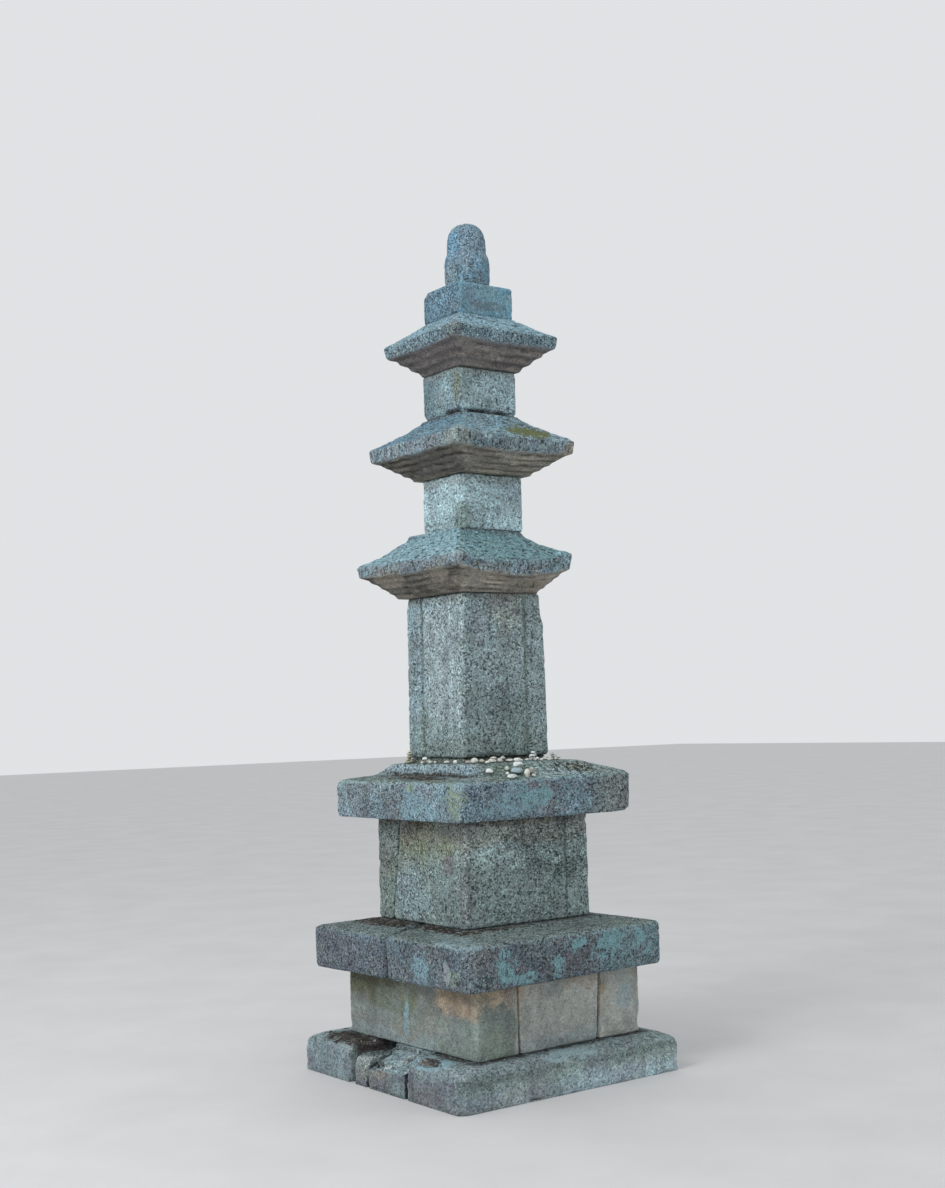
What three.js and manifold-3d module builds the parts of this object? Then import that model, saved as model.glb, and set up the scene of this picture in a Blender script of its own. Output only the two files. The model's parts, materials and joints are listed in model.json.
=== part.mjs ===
// A weathered three-storey granite pagoda on a two-tier platform, in millimetres, +Z up.
// The origin is the middle of the ground course's underside. X and Y run along its sides.
// Every stone is one closed solid, and each lies a hair's breadth above the stone that carries it.
import * as THREE from 'three';
import { mergeVertices } from 'three/addons/utils/BufferGeometryUtils.js';
import Module from 'manifold-3d';

const wasm = await Module();
wasm.setup();

// Driving dimensions: the height at which each course starts, from the ground up.
const LEVEL = {
  ground: 0,
  lowerBody: 198,
  lowerCap: 550,
  upperBody: 806,
  upperCap: 1352,
  firstBody: 1662,
  firstRoof: 2530,
  secondBody: 2874,
  secondRoof: 3178,
  thirdBody: 3508,
  thirdRoof: 3758,
  block: 4052,
  finial: 4230,
  top: 4613,
};

// Half the width of each course along X and along Y.
const HALF = {
  ground: [714, 714],
  lowerBody: [548, 564],
  lowerCap: [660, 671],
  upperBody: [411, 402],
  upperCap: [562, 562],
  ledge: [389, 402],
  firstFoot: [286, 266],
  firstHead: [275, 271],
  secondBody: [210, 187],
  thirdBody: [196, 178],
  block: [187, 172],
};

// How far each course has slid from the pagoda's axis, and how far it has turned, in degrees.
const SLID = {
  lowerBody: [23, -18],
  lowerCap: [7, -5],
  upperBody: [0, 0],
  upperCap: [6, -5],
  firstBody: [-5, 4],
  firstRoof: [-33, 24],
  secondBody: [1, -1],
  secondRoof: [0, 0],
  thirdBody: [1, -1],
  thirdRoof: [10, -8],
  block: [7, -3],
  finial: [7, -5],
};
const TURNED = {
  lowerBody: 1.2,
  lowerCap: 2.0,
  upperBody: -0.7,
  firstBody: -0.9,
  firstRoof: 2.5,
  secondBody: -1.0,
  secondRoof: 0.3,
  thirdBody: -1.0,
  thirdRoof: -1.0,
  block: -1.0,
};

const SEAT = 0.3; // gap between a stone and the one under it
const JOINT = 4; // open upright joint between two stones of a course
const GROOVE = 9; // side of the square-edged cut that outlines a corner pilaster

// Colours of the stone as it has weathered, one for each kind of stone.
const STONE = {
  ground: 0x7f8788,
  platform: 0x84897f,
  cap: 0x67777b,
  body: 0x8b9694,
  roof: 0x6c7a7b,
  finial: 0x6a7b82,
  rubble: 0x5d564c,
  votive: 0xc4bfae,
};

const materials = Object.fromEntries(
  Object.entries(STONE).map(([kind, color]) => [
    kind,
    new THREE.MeshStandardMaterial({ color, roughness: 0.92, metalness: 0, flatShading: true }),
  ]),
);

const STILL = [0, 0, 0];
const SQUARE = [STILL, STILL, STILL, STILL]; // four corners that are all in their places

/**
 * One level outline of a stone: a rectangle with cut corners, from the near left corner round.
 * Its sides may sag between the corners, and pulled lists how far each corner is out of its place.
 */
function outline({ x, y, z, cut = 10, sag = 0, steps = 1, pulled = SQUARE }) {
  const corners = [[x[0], y[0]], [x[1], y[0]], [x[1], y[1]], [x[0], y[1]]];
  const cuts = Array.isArray(cut) ? cut : [cut, cut, cut, cut];
  const sags = Array.isArray(sag) ? sag : [sag, sag, sag, sag];
  const points = [];
  corners.forEach(([ax, ay], side) => {
    const next = (side + 1) % 4;
    const [bx, by] = corners[next];
    const length = Math.hypot(bx - ax, by - ay);
    for (let step = 0; step <= steps; step++) {
      const share = step / steps;
      const run = (cuts[side] + (length - cuts[side] - cuts[next]) * share) / length;
      const fromMiddle = Math.abs(2 * share - 1);
      const drop = sags[side] * (1 - fromMiddle ** 2.5);
      const pull = pulled[side].map((by, axis) => by * (1 - share) ** 2 + pulled[next][axis] * share ** 2);
      points.push([ax + (bx - ax) * run + pull[0], ay + (by - ay) * run + pull[1], z - drop + pull[2]]);
    }
  });
  return points;
}

/** A closed solid through outlines that are listed from the bottom up. */
function loft(rings) {
  const count = rings[0].length;
  const position = rings.flat(2);
  const index = [];
  for (let r = 0; r < rings.length - 1; r++) {
    for (let i = 0; i < count; i++) {
      const a = r * count + i;
      const b = r * count + (i + 1) % count;
      index.push(a, b, b + count, a, b + count, a + count);
    }
  }
  const close = (ring, first, upwards) => {
    const middle = position.length / 3;
    for (const axis of [0, 1, 2]) {
      position.push(ring.reduce((sum, p) => sum + p[axis], 0) / count);
    }
    for (let i = 0; i < count; i++) {
      const a = first + i;
      const b = first + (i + 1) % count;
      index.push(middle, ...(upwards ? [a, b] : [b, a]));
    }
  };
  close(rings[0], 0, false);
  close(rings.at(-1), (rings.length - 1) * count, true);
  const geometry = new THREE.BufferGeometry();
  geometry.setAttribute('position', new THREE.Float32BufferAttribute(position, 3));
  geometry.setIndex(index);
  return geometry;
}

const inset = ([low, high], by) => [low + by, high - by];

/** A squared stone from z 0 to height. head gives its outline at the top, where the stone tapers. */
function dressed({ x, y, height, head = {}, arris = 8, cut = 10, foot = 0 }) {
  const hx = head.x ?? x;
  const hy = head.y ?? y;
  return loft([
    outline({ x: inset(x, foot), y: inset(y, foot), z: 0, cut }),
    outline({ x, y, z: Math.max(foot, 6), cut }),
    outline({ x: hx, y: hy, z: height - arris, cut }),
    outline({ x: inset(hx, arris), y: inset(hy, arris), z: height, cut }),
  ]);
}

function toSolid(geometry) {
  const bare = geometry.clone();
  bare.deleteAttribute('normal');
  bare.deleteAttribute('uv');
  const merged = mergeVertices(bare, 1e-4);
  return new wasm.Manifold(new wasm.Mesh({
    numProp: 3,
    vertProperties: Float32Array.from(merged.attributes.position.array),
    triVerts: Uint32Array.from(merged.index.array),
  }));
}

function toGeometry(solid) {
  const { vertProperties, triVerts } = solid.getMesh();
  const geometry = new THREE.BufferGeometry();
  geometry.setAttribute('position', new THREE.Float32BufferAttribute(vertProperties, 3));
  geometry.setIndex(Array.from(triVerts));
  return geometry;
}

/** The stone with each cutter's volume broken or cut out of it. */
function carved(geometry, cutters) {
  return toGeometry(cutters.reduce((solid, cutter) => solid.subtract(toSolid(cutter)), toSolid(geometry)));
}

const turn = (degrees) => THREE.MathUtils.degToRad(degrees);

/** A rounded flake that frost or a knock has taken out of an edge. */
function flake(at, radii, turned = [0, 0, 0]) {
  return new THREE.IcosahedronGeometry(1, 1)
    .scale(...radii)
    .applyMatrix4(new THREE.Matrix4().makeRotationFromEuler(new THREE.Euler(...turned.map(turn))))
    .translate(...at);
}

/** A flat break through a corner: a block whose lower face is the broken surface. */
function split(at, size, turned) {
  return new THREE.BoxGeometry(...size)
    .translate(0, 0, size[2] / 2)
    .applyMatrix4(new THREE.Matrix4().makeRotationFromEuler(new THREE.Euler(...turned.map(turn))))
    .translate(...at);
}

/** The V-shaped line that sets off a corner pilaster, from one point of a face to another. */
function groove(from, to) {
  const start = new THREE.Vector3(...from);
  const along = new THREE.Vector3(...to).sub(start);
  const upright = new THREE.Quaternion().setFromUnitVectors(
    new THREE.Vector3(0, 0, 1),
    along.clone().normalize(),
  );
  return new THREE.BoxGeometry(GROOVE, GROOVE, along.length() + 40)
    .rotateZ(Math.PI / 4)
    .applyQuaternion(upright)
    .translate(...start.addScaledVector(along, 0.5).toArray());
}

function stone(name, geometry, kind) {
  const mesh = new THREE.Mesh(geometry, materials[kind]);
  mesh.name = name;
  return mesh;
}

/** A course of stones at its own height, slid and turned as it was found. */
function course(level, stones) {
  const group = new THREE.Group();
  const [x, y] = SLID[level] ?? [0, 0];
  group.position.set(x, y, LEVEL[level]);
  group.rotation.z = turn(TURNED[level] ?? 0);
  group.add(...stones);
  return group;
}

const heightOf = (level, above) => LEVEL[above] - LEVEL[level] - SEAT;
const both = (half) => [-half, half];
const mix = (a, b, share) => a + (b - a) * share;

// Ground course: two long stones at the front and back, with broken ones between them on the left.
const GROUND_JOINTS = { front: -245, back: 262 };
const WORN_CORNER = 34; // how far the nearest corner of the ground course is rounded off

/** A long ground stone; outward is the side of y, -1 or 1, that faces away from the pagoda. */
function groundStone(y, cut, outward) {
  const [halfX] = HALF.ground;
  const top = heightOf('ground', 'lowerBody');
  const trimmed = (by) => (outward < 0 ? [y[0] + by, y[1]] : [y[0], y[1] - by]);
  return loft([
    outline({ x: both(halfX), y, z: 0, cut }),
    outline({ x: both(halfX), y, z: 142, cut }),
    outline({ x: both(halfX - 9), y: trimmed(9), z: 168, cut }),
    outline({ x: both(halfX - 28), y: trimmed(28), z: 185, cut }),
    outline({ x: both(halfX - 70), y: trimmed(70), z: top, cut }),
  ]);
}

function groundCourse() {
  const [halfX, halfY] = HALF.ground;
  const { front, back } = GROUND_JOINTS;
  const top = heightOf('ground', 'lowerBody');
  const half = JOINT / 2;
  const frontStone = carved(groundStone([-halfY, front - half], [WORN_CORNER, 12, 6, 14], -1), [
    flake([-642, -400, 203], [32, 100, 19], [0, 4, 0]),
    flake([-halfX - 4, front - half, 196], [46, 44, 50], [0, 0, 20]),
  ]);
  const backStone = carved(groundStone([back + half, halfY], [12, 8, WORN_CORNER, 10], 1), [
    flake([-630, 250, 205], [110, 60, 38], [12, 0, 0]),
  ]);
  const spalledHead = 103; // where the spalled stone ends along Y
  const sliver = loft([
    outline({ x: [2 - halfX, -330], y: [spalledHead + SEAT, 233], z: 0, cut: 14 }),
    outline({ x: [2 - halfX, -330], y: [spalledHead + SEAT, 232], z: 112, cut: 18 }),
    outline({ x: [16 - halfX, -334], y: [118, 220], z: 144, cut: 18 }),
    outline({ x: [40 - halfX, -340], y: [136, 200], z: 156, cut: 14 }),
  ]);
  const spalled = carved(
    dressed({ x: [1 - halfX, -330], y: [front + half, spalledHead], height: top, arris: 6, cut: 14 }),
    [
      split([-halfX, -70, 122], [420, 420, 160], [0, -22, 0]),
      flake([12 - halfX, 70, 130], [56, 62, 24]),
    ],
  );
  const right = dressed({
    x: [466, halfX - 3],
    y: [front + half, back - half],
    height: top,
    head: { x: [466, halfX - 14] },
    arris: 12,
    cut: 8,
  });
  const packing = dressed({ x: [-322, 460], y: [-240, 257], height: top, arris: 4, cut: 30 });
  return course('ground', [
    stone('ground_course_front', frontStone, 'ground'),
    stone('ground_course_back', backStone, 'ground'),
    stone('ground_course_left_sliver', sliver, 'ground'),
    stone('ground_course_left_spalled', spalled, 'ground'),
    stone('ground_course_right', right, 'ground'),
    stone('ground_course_packing', packing, 'rubble'),
  ]);
}

// Lower platform body: two side slabs run front to back and hold shorter ones between them.
const LOWER_BODY_JOINTS = { left: -278, rightFoot: 247, rightHead: 270, front: -312, back: 316 };

function lowerBody() {
  const [halfX, halfY] = HALF.lowerBody;
  const height = heightOf('lowerBody', 'lowerCap');
  const { left, rightFoot, rightHead, front, back } = LOWER_BODY_JOINTS;
  const half = JOINT / 2;
  const slab = (x, y, head) => dressed({ x, y, height, head, arris: 5, cut: 7, foot: 4 });
  const leftSlab = slab([-halfX, left - half], both(halfY));
  const frontSlab = slab([left + half, rightFoot - half], [-halfY + 2, front], {
    x: [left + half, rightHead - half],
  });
  const rightSlab = carved(
    slab([rightFoot + half, halfX], both(halfY), { x: [rightHead + half, halfX] }),
    [
      flake([halfX + 6, -halfY, 55], [30, 26, 60]),
      flake([rightFoot, -halfY - 6, 30], [26, 22, 44]),
    ],
  );
  const backSlab = slab([left + half, rightFoot - half], [back, halfY - 2]);
  const packing = dressed({
    x: [left + JOINT, rightFoot - JOINT],
    y: [front + JOINT, back - JOINT],
    height,
    arris: 4,
    cut: 30,
  });
  return course('lowerBody', [
    stone('lower_body_left', leftSlab, 'platform'),
    stone('lower_body_front', frontSlab, 'platform'),
    stone('lower_body_right', rightSlab, 'platform'),
    stone('lower_body_back', backSlab, 'platform'),
    stone('lower_body_packing', packing, 'rubble'),
  ]);
}

// Lower cap: two thick slabs that meet near the middle, with a low bed for the upper body.
const LOWER_CAP = { joint: 46, rim: 226, bed: [452, 444] };

function lowerCapSlab(y, cut, pulled) {
  const [halfX] = HALF.lowerCap;
  const [bedX, bedY] = LOWER_CAP.bed;
  const top = heightOf('lowerCap', 'upperBody');
  const fromJoint = 16; // how far the bed keeps back from the joint
  const bed = [
    y[0] > 0 ? y[0] + fromJoint : -bedY,
    y[0] > 0 ? bedY : y[1] - fromJoint,
  ];
  return loft([
    outline({ x: both(halfX - 12), y: inset(y, 10), z: 0, cut, pulled }),
    outline({ x: both(halfX - 4), y: inset(y, 2), z: 12, cut, pulled }),
    outline({ x: both(halfX), y, z: LOWER_CAP.rim - 22, cut, pulled }),
    outline({ x: both(halfX - 6), y: inset(y, 6), z: LOWER_CAP.rim - 8, cut, pulled }),
    outline({ x: both(halfX - 22), y: inset(y, 14), z: LOWER_CAP.rim, cut, pulled }),
    outline({ x: both(bedX), y: bed, z: top, cut: 20 }),
  ]);
}

function lowerCap() {
  const [halfX, halfY] = HALF.lowerCap;
  const { joint } = LOWER_CAP;
  const front = carved(lowerCapSlab([-halfY, joint - JOINT / 2], [16, 22, 12, 26]), [
    flake([-halfX, joint, 232], [70, 42, 30], [0, 0, 10]),
    flake([-halfX + 8, -halfY - 4, 150], [30, 30, 90]),
    flake([240, -halfY - 14, -4], [150, 26, 16]),
  ]);
  const backCut = [22, 12, 26, 14];
  const back = carved(lowerCapSlab([joint + JOINT / 2, halfY], backCut, [STILL, STILL, STILL, [-6, 16, 0]]), [
    flake([-halfX + 6, halfY + 24, 244], [60, 60, 26], [0, 0, 40]),
    flake([-halfX - 4, 320, -6], [22, 190, 22]),
    flake([halfX, 380, 232], [36, 120, 24]),
  ]);
  return course('lowerCap', [
    stone('lower_cap_front', front, 'cap'),
    stone('lower_cap_back', back, 'cap'),
  ]);
}

// Upper platform body: one thick stone with a narrower slab behind a leaning joint.
const UPPER_BODY_JOINT = { foot: 279, head: 205 };
const UPPER_PILASTER = 171; // width of the pilaster that shows at the corner
const BACK_SLAB_PROUD = { foot: 32, head: 20 }; // how far the slab behind stands out at the back

function upperBody() {
  const [halfX, halfY] = HALF.upperBody;
  const height = heightOf('upperBody', 'upperCap');
  const { foot, head } = UPPER_BODY_JOINT;
  const half = JOINT / 2;
  const pilaster = halfX - UPPER_PILASTER;
  const backFoot = halfY + BACK_SLAB_PROUD.foot;
  const backHead = halfY + BACK_SLAB_PROUD.head;
  const main = carved(
    dressed({
      x: both(halfX),
      y: [-halfY, foot - half],
      height,
      head: { y: [-halfY, head - half] },
      arris: 6,
      cut: [12, 10, 6, 9],
      foot: 5,
    }),
    [
      groove([pilaster - 14, -halfY, 0], [pilaster, -halfY, height]),
      groove([halfX, -pilaster, 0], [halfX, -pilaster, height]),
    ],
  );
  const backSlab = carved(
    dressed({
      x: [-halfX + 5, halfX - 3],
      y: [foot + half, backFoot],
      height,
      head: { y: [head + half, backHead] },
      arris: 6,
      cut: 9,
      foot: 5,
    }),
    [
      groove([pilaster, backFoot, 0], [pilaster, backHead, height]),
      groove([-pilaster, backFoot, 0], [-pilaster, backHead, height]),
      flake([-halfX, backFoot + 4, 0], [20, 18, 60]),
    ],
  );
  return course('upperBody', [
    stone('upper_body_main', main, 'platform'),
    stone('upper_body_back', backSlab, 'platform'),
  ]);
}

// Upper cap: one slab whose top slopes up to its middle, with a broken ledge along the left.
const UPPER_CAP = { rim: 204, ledgeFoot: 226, ledgeHead: 284, seatFoot: 291 };

function upperCapSlab() {
  const [halfX, halfY] = HALF.upperCap;
  const [ledgeX, ledgeY] = HALF.ledge;
  const top = heightOf('upperCap', 'firstBody');
  const cut = [14, 26, 22, 12];
  const pulledFoot = [STILL, [22, 0, 0], STILL, [-8, 34, 0]];
  const pulledHead = [STILL, [26, 0, 16], [0, 0, 6], [-8, 34, 0]];
  const bodyFoot = [0, 1].map((axis) =>
    both(HALF.firstFoot[axis]).map((v) => v + SLID.firstBody[axis] - SLID.upperCap[axis]));
  const setBack = { front: 25, elsewhere: 8 }; // how far the body overhangs its seat
  const seatX = inset(bodyFoot[0], setBack.elsewhere);
  const seatY = [bodyFoot[1][0] + setBack.front, bodyFoot[1][1] - setBack.elsewhere];
  const body = loft([
    outline({ x: both(halfX - 12), y: both(halfY - 12), z: 0, cut, pulled: pulledFoot }),
    outline({ x: both(halfX - 4), y: both(halfY - 4), z: 10, cut, pulled: pulledFoot }),
    outline({ x: both(halfX), y: both(halfY), z: UPPER_CAP.rim - 22, cut, pulled: pulledHead }),
    outline({ x: both(halfX - 6), y: both(halfY - 6), z: UPPER_CAP.rim - 6, cut, pulled: pulledHead }),
    outline({ x: both(halfX - 22), y: both(halfY - 22), z: UPPER_CAP.rim, cut, pulled: pulledHead }),
    outline({
      x: [-ledgeX - 8, ledgeX + 106],
      y: [-ledgeY - 90, ledgeY + 76],
      z: UPPER_CAP.ledgeFoot,
      cut: [80, 30, 30, 30],
      pulled: [STILL, [20, 0, 12], STILL, STILL],
    }),
    outline({ x: [-ledgeX, ledgeX - 28], y: [-ledgeY, ledgeY - 72], z: UPPER_CAP.ledgeHead, cut: 30 }),
    outline({ x: inset(seatX, -9), y: inset(seatY, -9), z: UPPER_CAP.seatFoot, cut: 14 }),
    outline({ x: seatX, y: seatY, z: top, cut: 14 }),
  ]);
  return carved(body, [
    flake([-halfX - 14, halfY + 30, 200], [30, 36, 40], [0, 20, 0]),
    flake([halfX + 4, halfY - 60, 208], [40, 110, 26]),
    flake([-ledgeX - 6, -70, 234], [34, 300, 12]),
    flake([halfX - 10, -halfY, 0], [70, 50, 16]),
  ]);
}

// Votive stones that visitors have set down round the foot of the first storey, the larger ones only.
// Each lists its place on the cap, its three radii and its turn in degrees, a lower stone before a higher.
const VOTIVE_STONES = {
  votive_stack_foot: { at: [-339, 196, 295], radii: [23, 23, 9], turned: 20 },
  votive_stack_second: { at: [-340, 202, 310], radii: [18, 19, 8], turned: -30 },
  votive_stack_third: { at: [-338, 194, 325], radii: [18, 18, 9], turned: 50 },
  votive_stack_fourth: { at: [-338, 197, 341], radii: [17, 17, 9], turned: -10 },
  votive_stack_head: { at: [-337, 194, 355], radii: [12, 13, 8], turned: 10 },
  votive_left_cone: { at: [-338, 47, 309], radii: [27, 32, 24], turned: 15 },
  votive_left_single: { at: [-336, -145, 297], radii: [15, 17, 10], turned: 0 },
  votive_corner: { at: [-287, -320, 300], radii: [22, 22, 15], turned: 35 },
  votive_front_first: { at: [-178, -322, 296], radii: [27, 23, 12], turned: -8 },
  votive_front_second: { at: [-126, -324, 298], radii: [17, 19, 13], turned: 20 },
  votive_front_third: { at: [-62, -325, 295], radii: [25, 20, 11], turned: 0 },
  votive_slope_white: { at: [-313, -478, 243], radii: [21, 18, 16], turned: 0 },
  votive_cairn_foot: { at: [-141, -488, 242], radii: [34, 25, 18], turned: -12 },
  votive_cairn_middle: { at: [-134, -487, 275], radii: [31, 23, 17], turned: 14 },
  votive_cairn_head: { at: [-138, -488, 302], radii: [23, 18, 12], turned: -20 },
  votive_cairn_side: { at: [-112, -531, 232], radii: [16, 14, 27], turned: 0 },
  votive_front_fourth: { at: [105, -318, 311], radii: [37, 29, 29], turned: -18 },
  votive_right_foot: { at: [247, -318, 304], radii: [33, 27, 19], turned: 40 },
  votive_right_head: { at: [243, -316, 337], radii: [23, 21, 17], turned: 10 },
};

function upperCap() {
  const slab = upperCapSlab();
  const laid = [toSolid(slab).translate(0, 0, SEAT)];
  const votives = Object.entries(VOTIVE_STONES).map(([name, { at, radii, turned }]) => {
    const pebble = new THREE.IcosahedronGeometry(1, 2)
      .scale(...radii)
      .rotateZ(turn(turned))
      .translate(...at);
    const bedded = laid.reduce((solid, bed) => solid.subtract(bed), toSolid(pebble));
    laid.push(bedded.translate(0, 0, SEAT));
    return stone(name, toGeometry(bedded), 'votive');
  });
  return course('upperCap', [stone('upper_cap', slab, 'cap'), ...votives]);
}

// First storey: a tall body with shallow lines that set off its corner pilasters.
const FIRST_PILASTER = 156;

function firstBody() {
  const [footX, footY] = HALF.firstFoot;
  const [headX, headY] = HALF.firstHead;
  const height = heightOf('firstBody', 'firstRoof');
  const p = FIRST_PILASTER;
  const body = dressed({
    x: both(footX),
    y: both(footY),
    height,
    head: { x: both(headX), y: both(headY) },
    arris: 6,
    cut: [9, 14, 10, 12],
    foot: 10,
  });
  const lines = [
    groove([footX - p, -footY, 0], [headX - p, -headY, height]),
    groove([-footX, footY - p, 0], [-headX, headY - p, height]),
    groove([footX, p - footY, 0], [headX, p - headY, height]),
    groove([footX, footY - p, 0], [headX, headY - p, height]),
    groove([footX - p, footY, 0], [headX - p, headY, height]),
    groove([p - footX, footY, 0], [p - headX, headY, height]),
  ];
  const breaks = [
    flake([headX + 10, -headY, height - 60], [46, 40, 150], [0, -10, 0]),
    flake([-60, -footY - 4, 4], [190, 22, 14]),
    flake([-headX - 6, headY + 4, height], [24, 30, 80]),
  ];
  return course('firstBody', [stone('first_storey_body', carved(body, [...lines, ...breaks]), 'body')]);
}

/**
 * A roof stone: worn steps under the eave, an upright eave edge, and a slope up to a low pad.
 * Its sizes are halves along X and Y. The eave's edge leans out by lean either way of its half size.
 * sag lists how far the front, right, back and left eaves droop, and pulled how far the eave's corners
 * are out of their places. Their rise shows only along the eave's upper edge.
 */
function roofStone({
  under, eave, lean, crown, soffit, edge, slope, pad, sag, courses, cut, pulled = SQUARE,
}) {
  const rings = [];
  const ring = ([x, y], z, droop, rise = 0) => {
    rings.push(outline({
      x: both(x),
      y: both(y),
      z,
      cut,
      sag: sag.map((s) => s * droop),
      steps: 6,
      pulled: pulled.map(([outX, outY, up]) => [outX * droop ** 2, outY * droop ** 2, up * rise]),
    }));
  };
  const between = (a, b, share) => [mix(a[0], b[0], share), mix(a[1], b[1], share)];
  const inner = eave.map((half) => half - lean - 12);
  const riserRun = 0.28; // share of a worn step's depth that its upright face leans over
  const riserRise = 0.72; // share of a worn step's height that its upright face still has
  for (let k = 0; k < courses; k++) {
    const foot = k / courses;
    const lip = (k + riserRun) / courses;
    ring(between(under, inner, foot), soffit * foot, foot);
    ring(between(under, inner, lip), soffit * (k + riserRise) / courses, lip);
  }
  ring(inner, soffit, 1);
  ring(eave.map((half) => half - lean), soffit + 6, 1);
  ring(eave.map((half) => half + lean), soffit + edge - 10, 1, 1);
  ring(eave.map((half) => half + lean - 7), soffit + edge, 1, 1);
  const padFoot = crown.map((half) => half + 8);
  for (const share of [0.3, 0.62, 1]) {
    const z = soffit + edge + slope * share ** 1.15;
    const droop = (1 - share) ** 1.6;
    ring(between(eave, padFoot, share), z, droop, droop);
  }
  ring(crown, soffit + edge + slope + pad - 5, 0);
  ring(crown.map((half) => half - 8), soffit + edge + slope + pad, 0);
  return loft(rings);
}

function firstRoof() {
  const total = heightOf('firstRoof', 'secondBody');
  const sizes = { soffit: 117, edge: 74, slope: 128 };
  const roof = roofStone({
    under: [284, 282],
    eave: [406, 430],
    lean: 7,
    crown: [238, 226],
    ...sizes,
    pad: total - sizes.soffit - sizes.edge - sizes.slope,
    sag: [40, 30, 36, 6],
    pulled: [STILL, [0, 0, 32], [0, 0, 12], [-22, 22, 0]],
    courses: 4,
    cut: [14, 26, 18, 6],
  });
  return course('firstRoof', [
    stone(
      'first_roof',
      carved(roof, [
        flake([424, -436, 104], [34, 34, 26], [20, -20, 0]),
        flake([150, -330, 44], [96, 26, 20]),
        flake([60, 438, 176], [120, 26, 26]),
        flake([420, 190, 120], [26, 110, 24]),
      ]),
      'roof',
    ),
  ]);
}

function secondBody() {
  const [halfX, halfY] = HALF.secondBody;
  const body = dressed({
    x: both(halfX),
    y: both(halfY),
    height: heightOf('secondBody', 'secondRoof'),
    arris: 6,
    cut: [22, 10, 12, 9],
    foot: 8,
  });
  return course('secondBody', [
    stone('second_storey_body', carved(body, [flake([halfX, halfY, 290], [30, 34, 60])]), 'body'),
  ]);
}

function secondRoof() {
  const total = heightOf('secondRoof', 'thirdBody');
  const sizes = { soffit: 106, edge: 84, slope: 122 };
  const roof = roofStone({
    under: [240, 238],
    eave: [411, 409],
    lean: 4,
    crown: [204, 200],
    ...sizes,
    pad: total - sizes.soffit - sizes.edge - sizes.slope,
    sag: [16, 14, 14, 4],
    courses: 4,
    cut: [20, 16, 18, 14],
  });
  return course('secondRoof', [
    stone(
      'second_roof',
      carved(roof, [
        split([-424, -424, 96], [90, 200, 220], [0, -28, 45]),
        flake([416, 60, 110], [22, 130, 20]),
        flake([-120, 418, 100], [110, 22, 24]),
      ]),
      'roof',
    ),
  ]);
}

function thirdBody() {
  const [halfX, halfY] = HALF.thirdBody;
  const body = dressed({
    x: both(halfX),
    y: both(halfY),
    height: heightOf('thirdBody', 'thirdRoof'),
    arris: 5,
    cut: [18, 9, 12, 8],
    foot: 9,
  });
  return course('thirdBody', [
    stone('third_storey_body', carved(body, [flake([-halfX, halfY, 0], [26, 26, 30])]), 'body'),
  ]);
}

function thirdRoof() {
  const total = heightOf('thirdRoof', 'block');
  const sizes = { soffit: 108, edge: 78, slope: 102 };
  const roof = roofStone({
    under: [210, 196],
    eave: [355, 343],
    lean: 6,
    crown: [196, 180],
    ...sizes,
    pad: total - sizes.soffit - sizes.edge - sizes.slope,
    sag: [5, 8, 8, 3],
    courses: 3,
    cut: [16, 14, 20, 16],
  });
  return course('thirdRoof', [
    stone(
      'third_roof',
      carved(roof, [
        flake([362, 340, 150], [34, 60, 40]),
        flake([-356, 346, 110], [26, 30, 24]),
        flake([0, 350, 112], [120, 20, 20]),
      ]),
      'roof',
    ),
  ]);
}

function finialBlock() {
  const [halfX, halfY] = HALF.block;
  const block = dressed({
    x: both(halfX),
    y: both(halfY),
    height: heightOf('block', 'finial'),
    arris: 7,
    cut: [16, 8, 12, 10],
    foot: 4,
  });
  return course('block', [
    stone('finial_block', carved(block, [flake([-halfX + 4, halfY, 178], [30, 40, 26])]), 'finial'),
  ]);
}

// Finial: an upturned bowl with a ledge round its middle, as radius and height above its seat.
const FINIAL_PROFILE = [
  [116, 0],
  [124, 22],
  [129, 60],
  [130, 110],
  [128, 160],
  [122, 190],
  [113, 205],
  [112, 240],
  [109, 290],
  [100, 325],
  [82, 352],
  [52, 374],
];

function finial() {
  const height = LEVEL.top - LEVEL.finial;
  const profile = [[0, 0], ...FINIAL_PROFILE, [0, height]].map(([r, z]) => new THREE.Vector2(r, z));
  const bowl = new THREE.LatheGeometry(profile, 28).rotateX(Math.PI / 2);
  return course('finial', [
    stone('finial_bowl', toGeometry(toSolid(bowl)), 'finial'),
  ]);
}

const pagoda = new THREE.Group();
pagoda.name = 'pagoda';
pagoda.add(
  groundCourse(),
  lowerBody(),
  lowerCap(),
  upperBody(),
  upperCap(),
  firstBody(),
  firstRoof(),
  secondBody(),
  secondRoof(),
  thirdBody(),
  thirdRoof(),
  finialBlock(),
  finial(),
);

export default pagoda;
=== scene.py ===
"""A weathered granite pagoda of three storeys, dressed on its CAD frame, in metres with +Z up."""

import json
import math

import bmesh
import bpy
import numpy as np
from mathutils import Matrix, Vector
from mathutils.bvhtree import BVHTree

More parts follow.
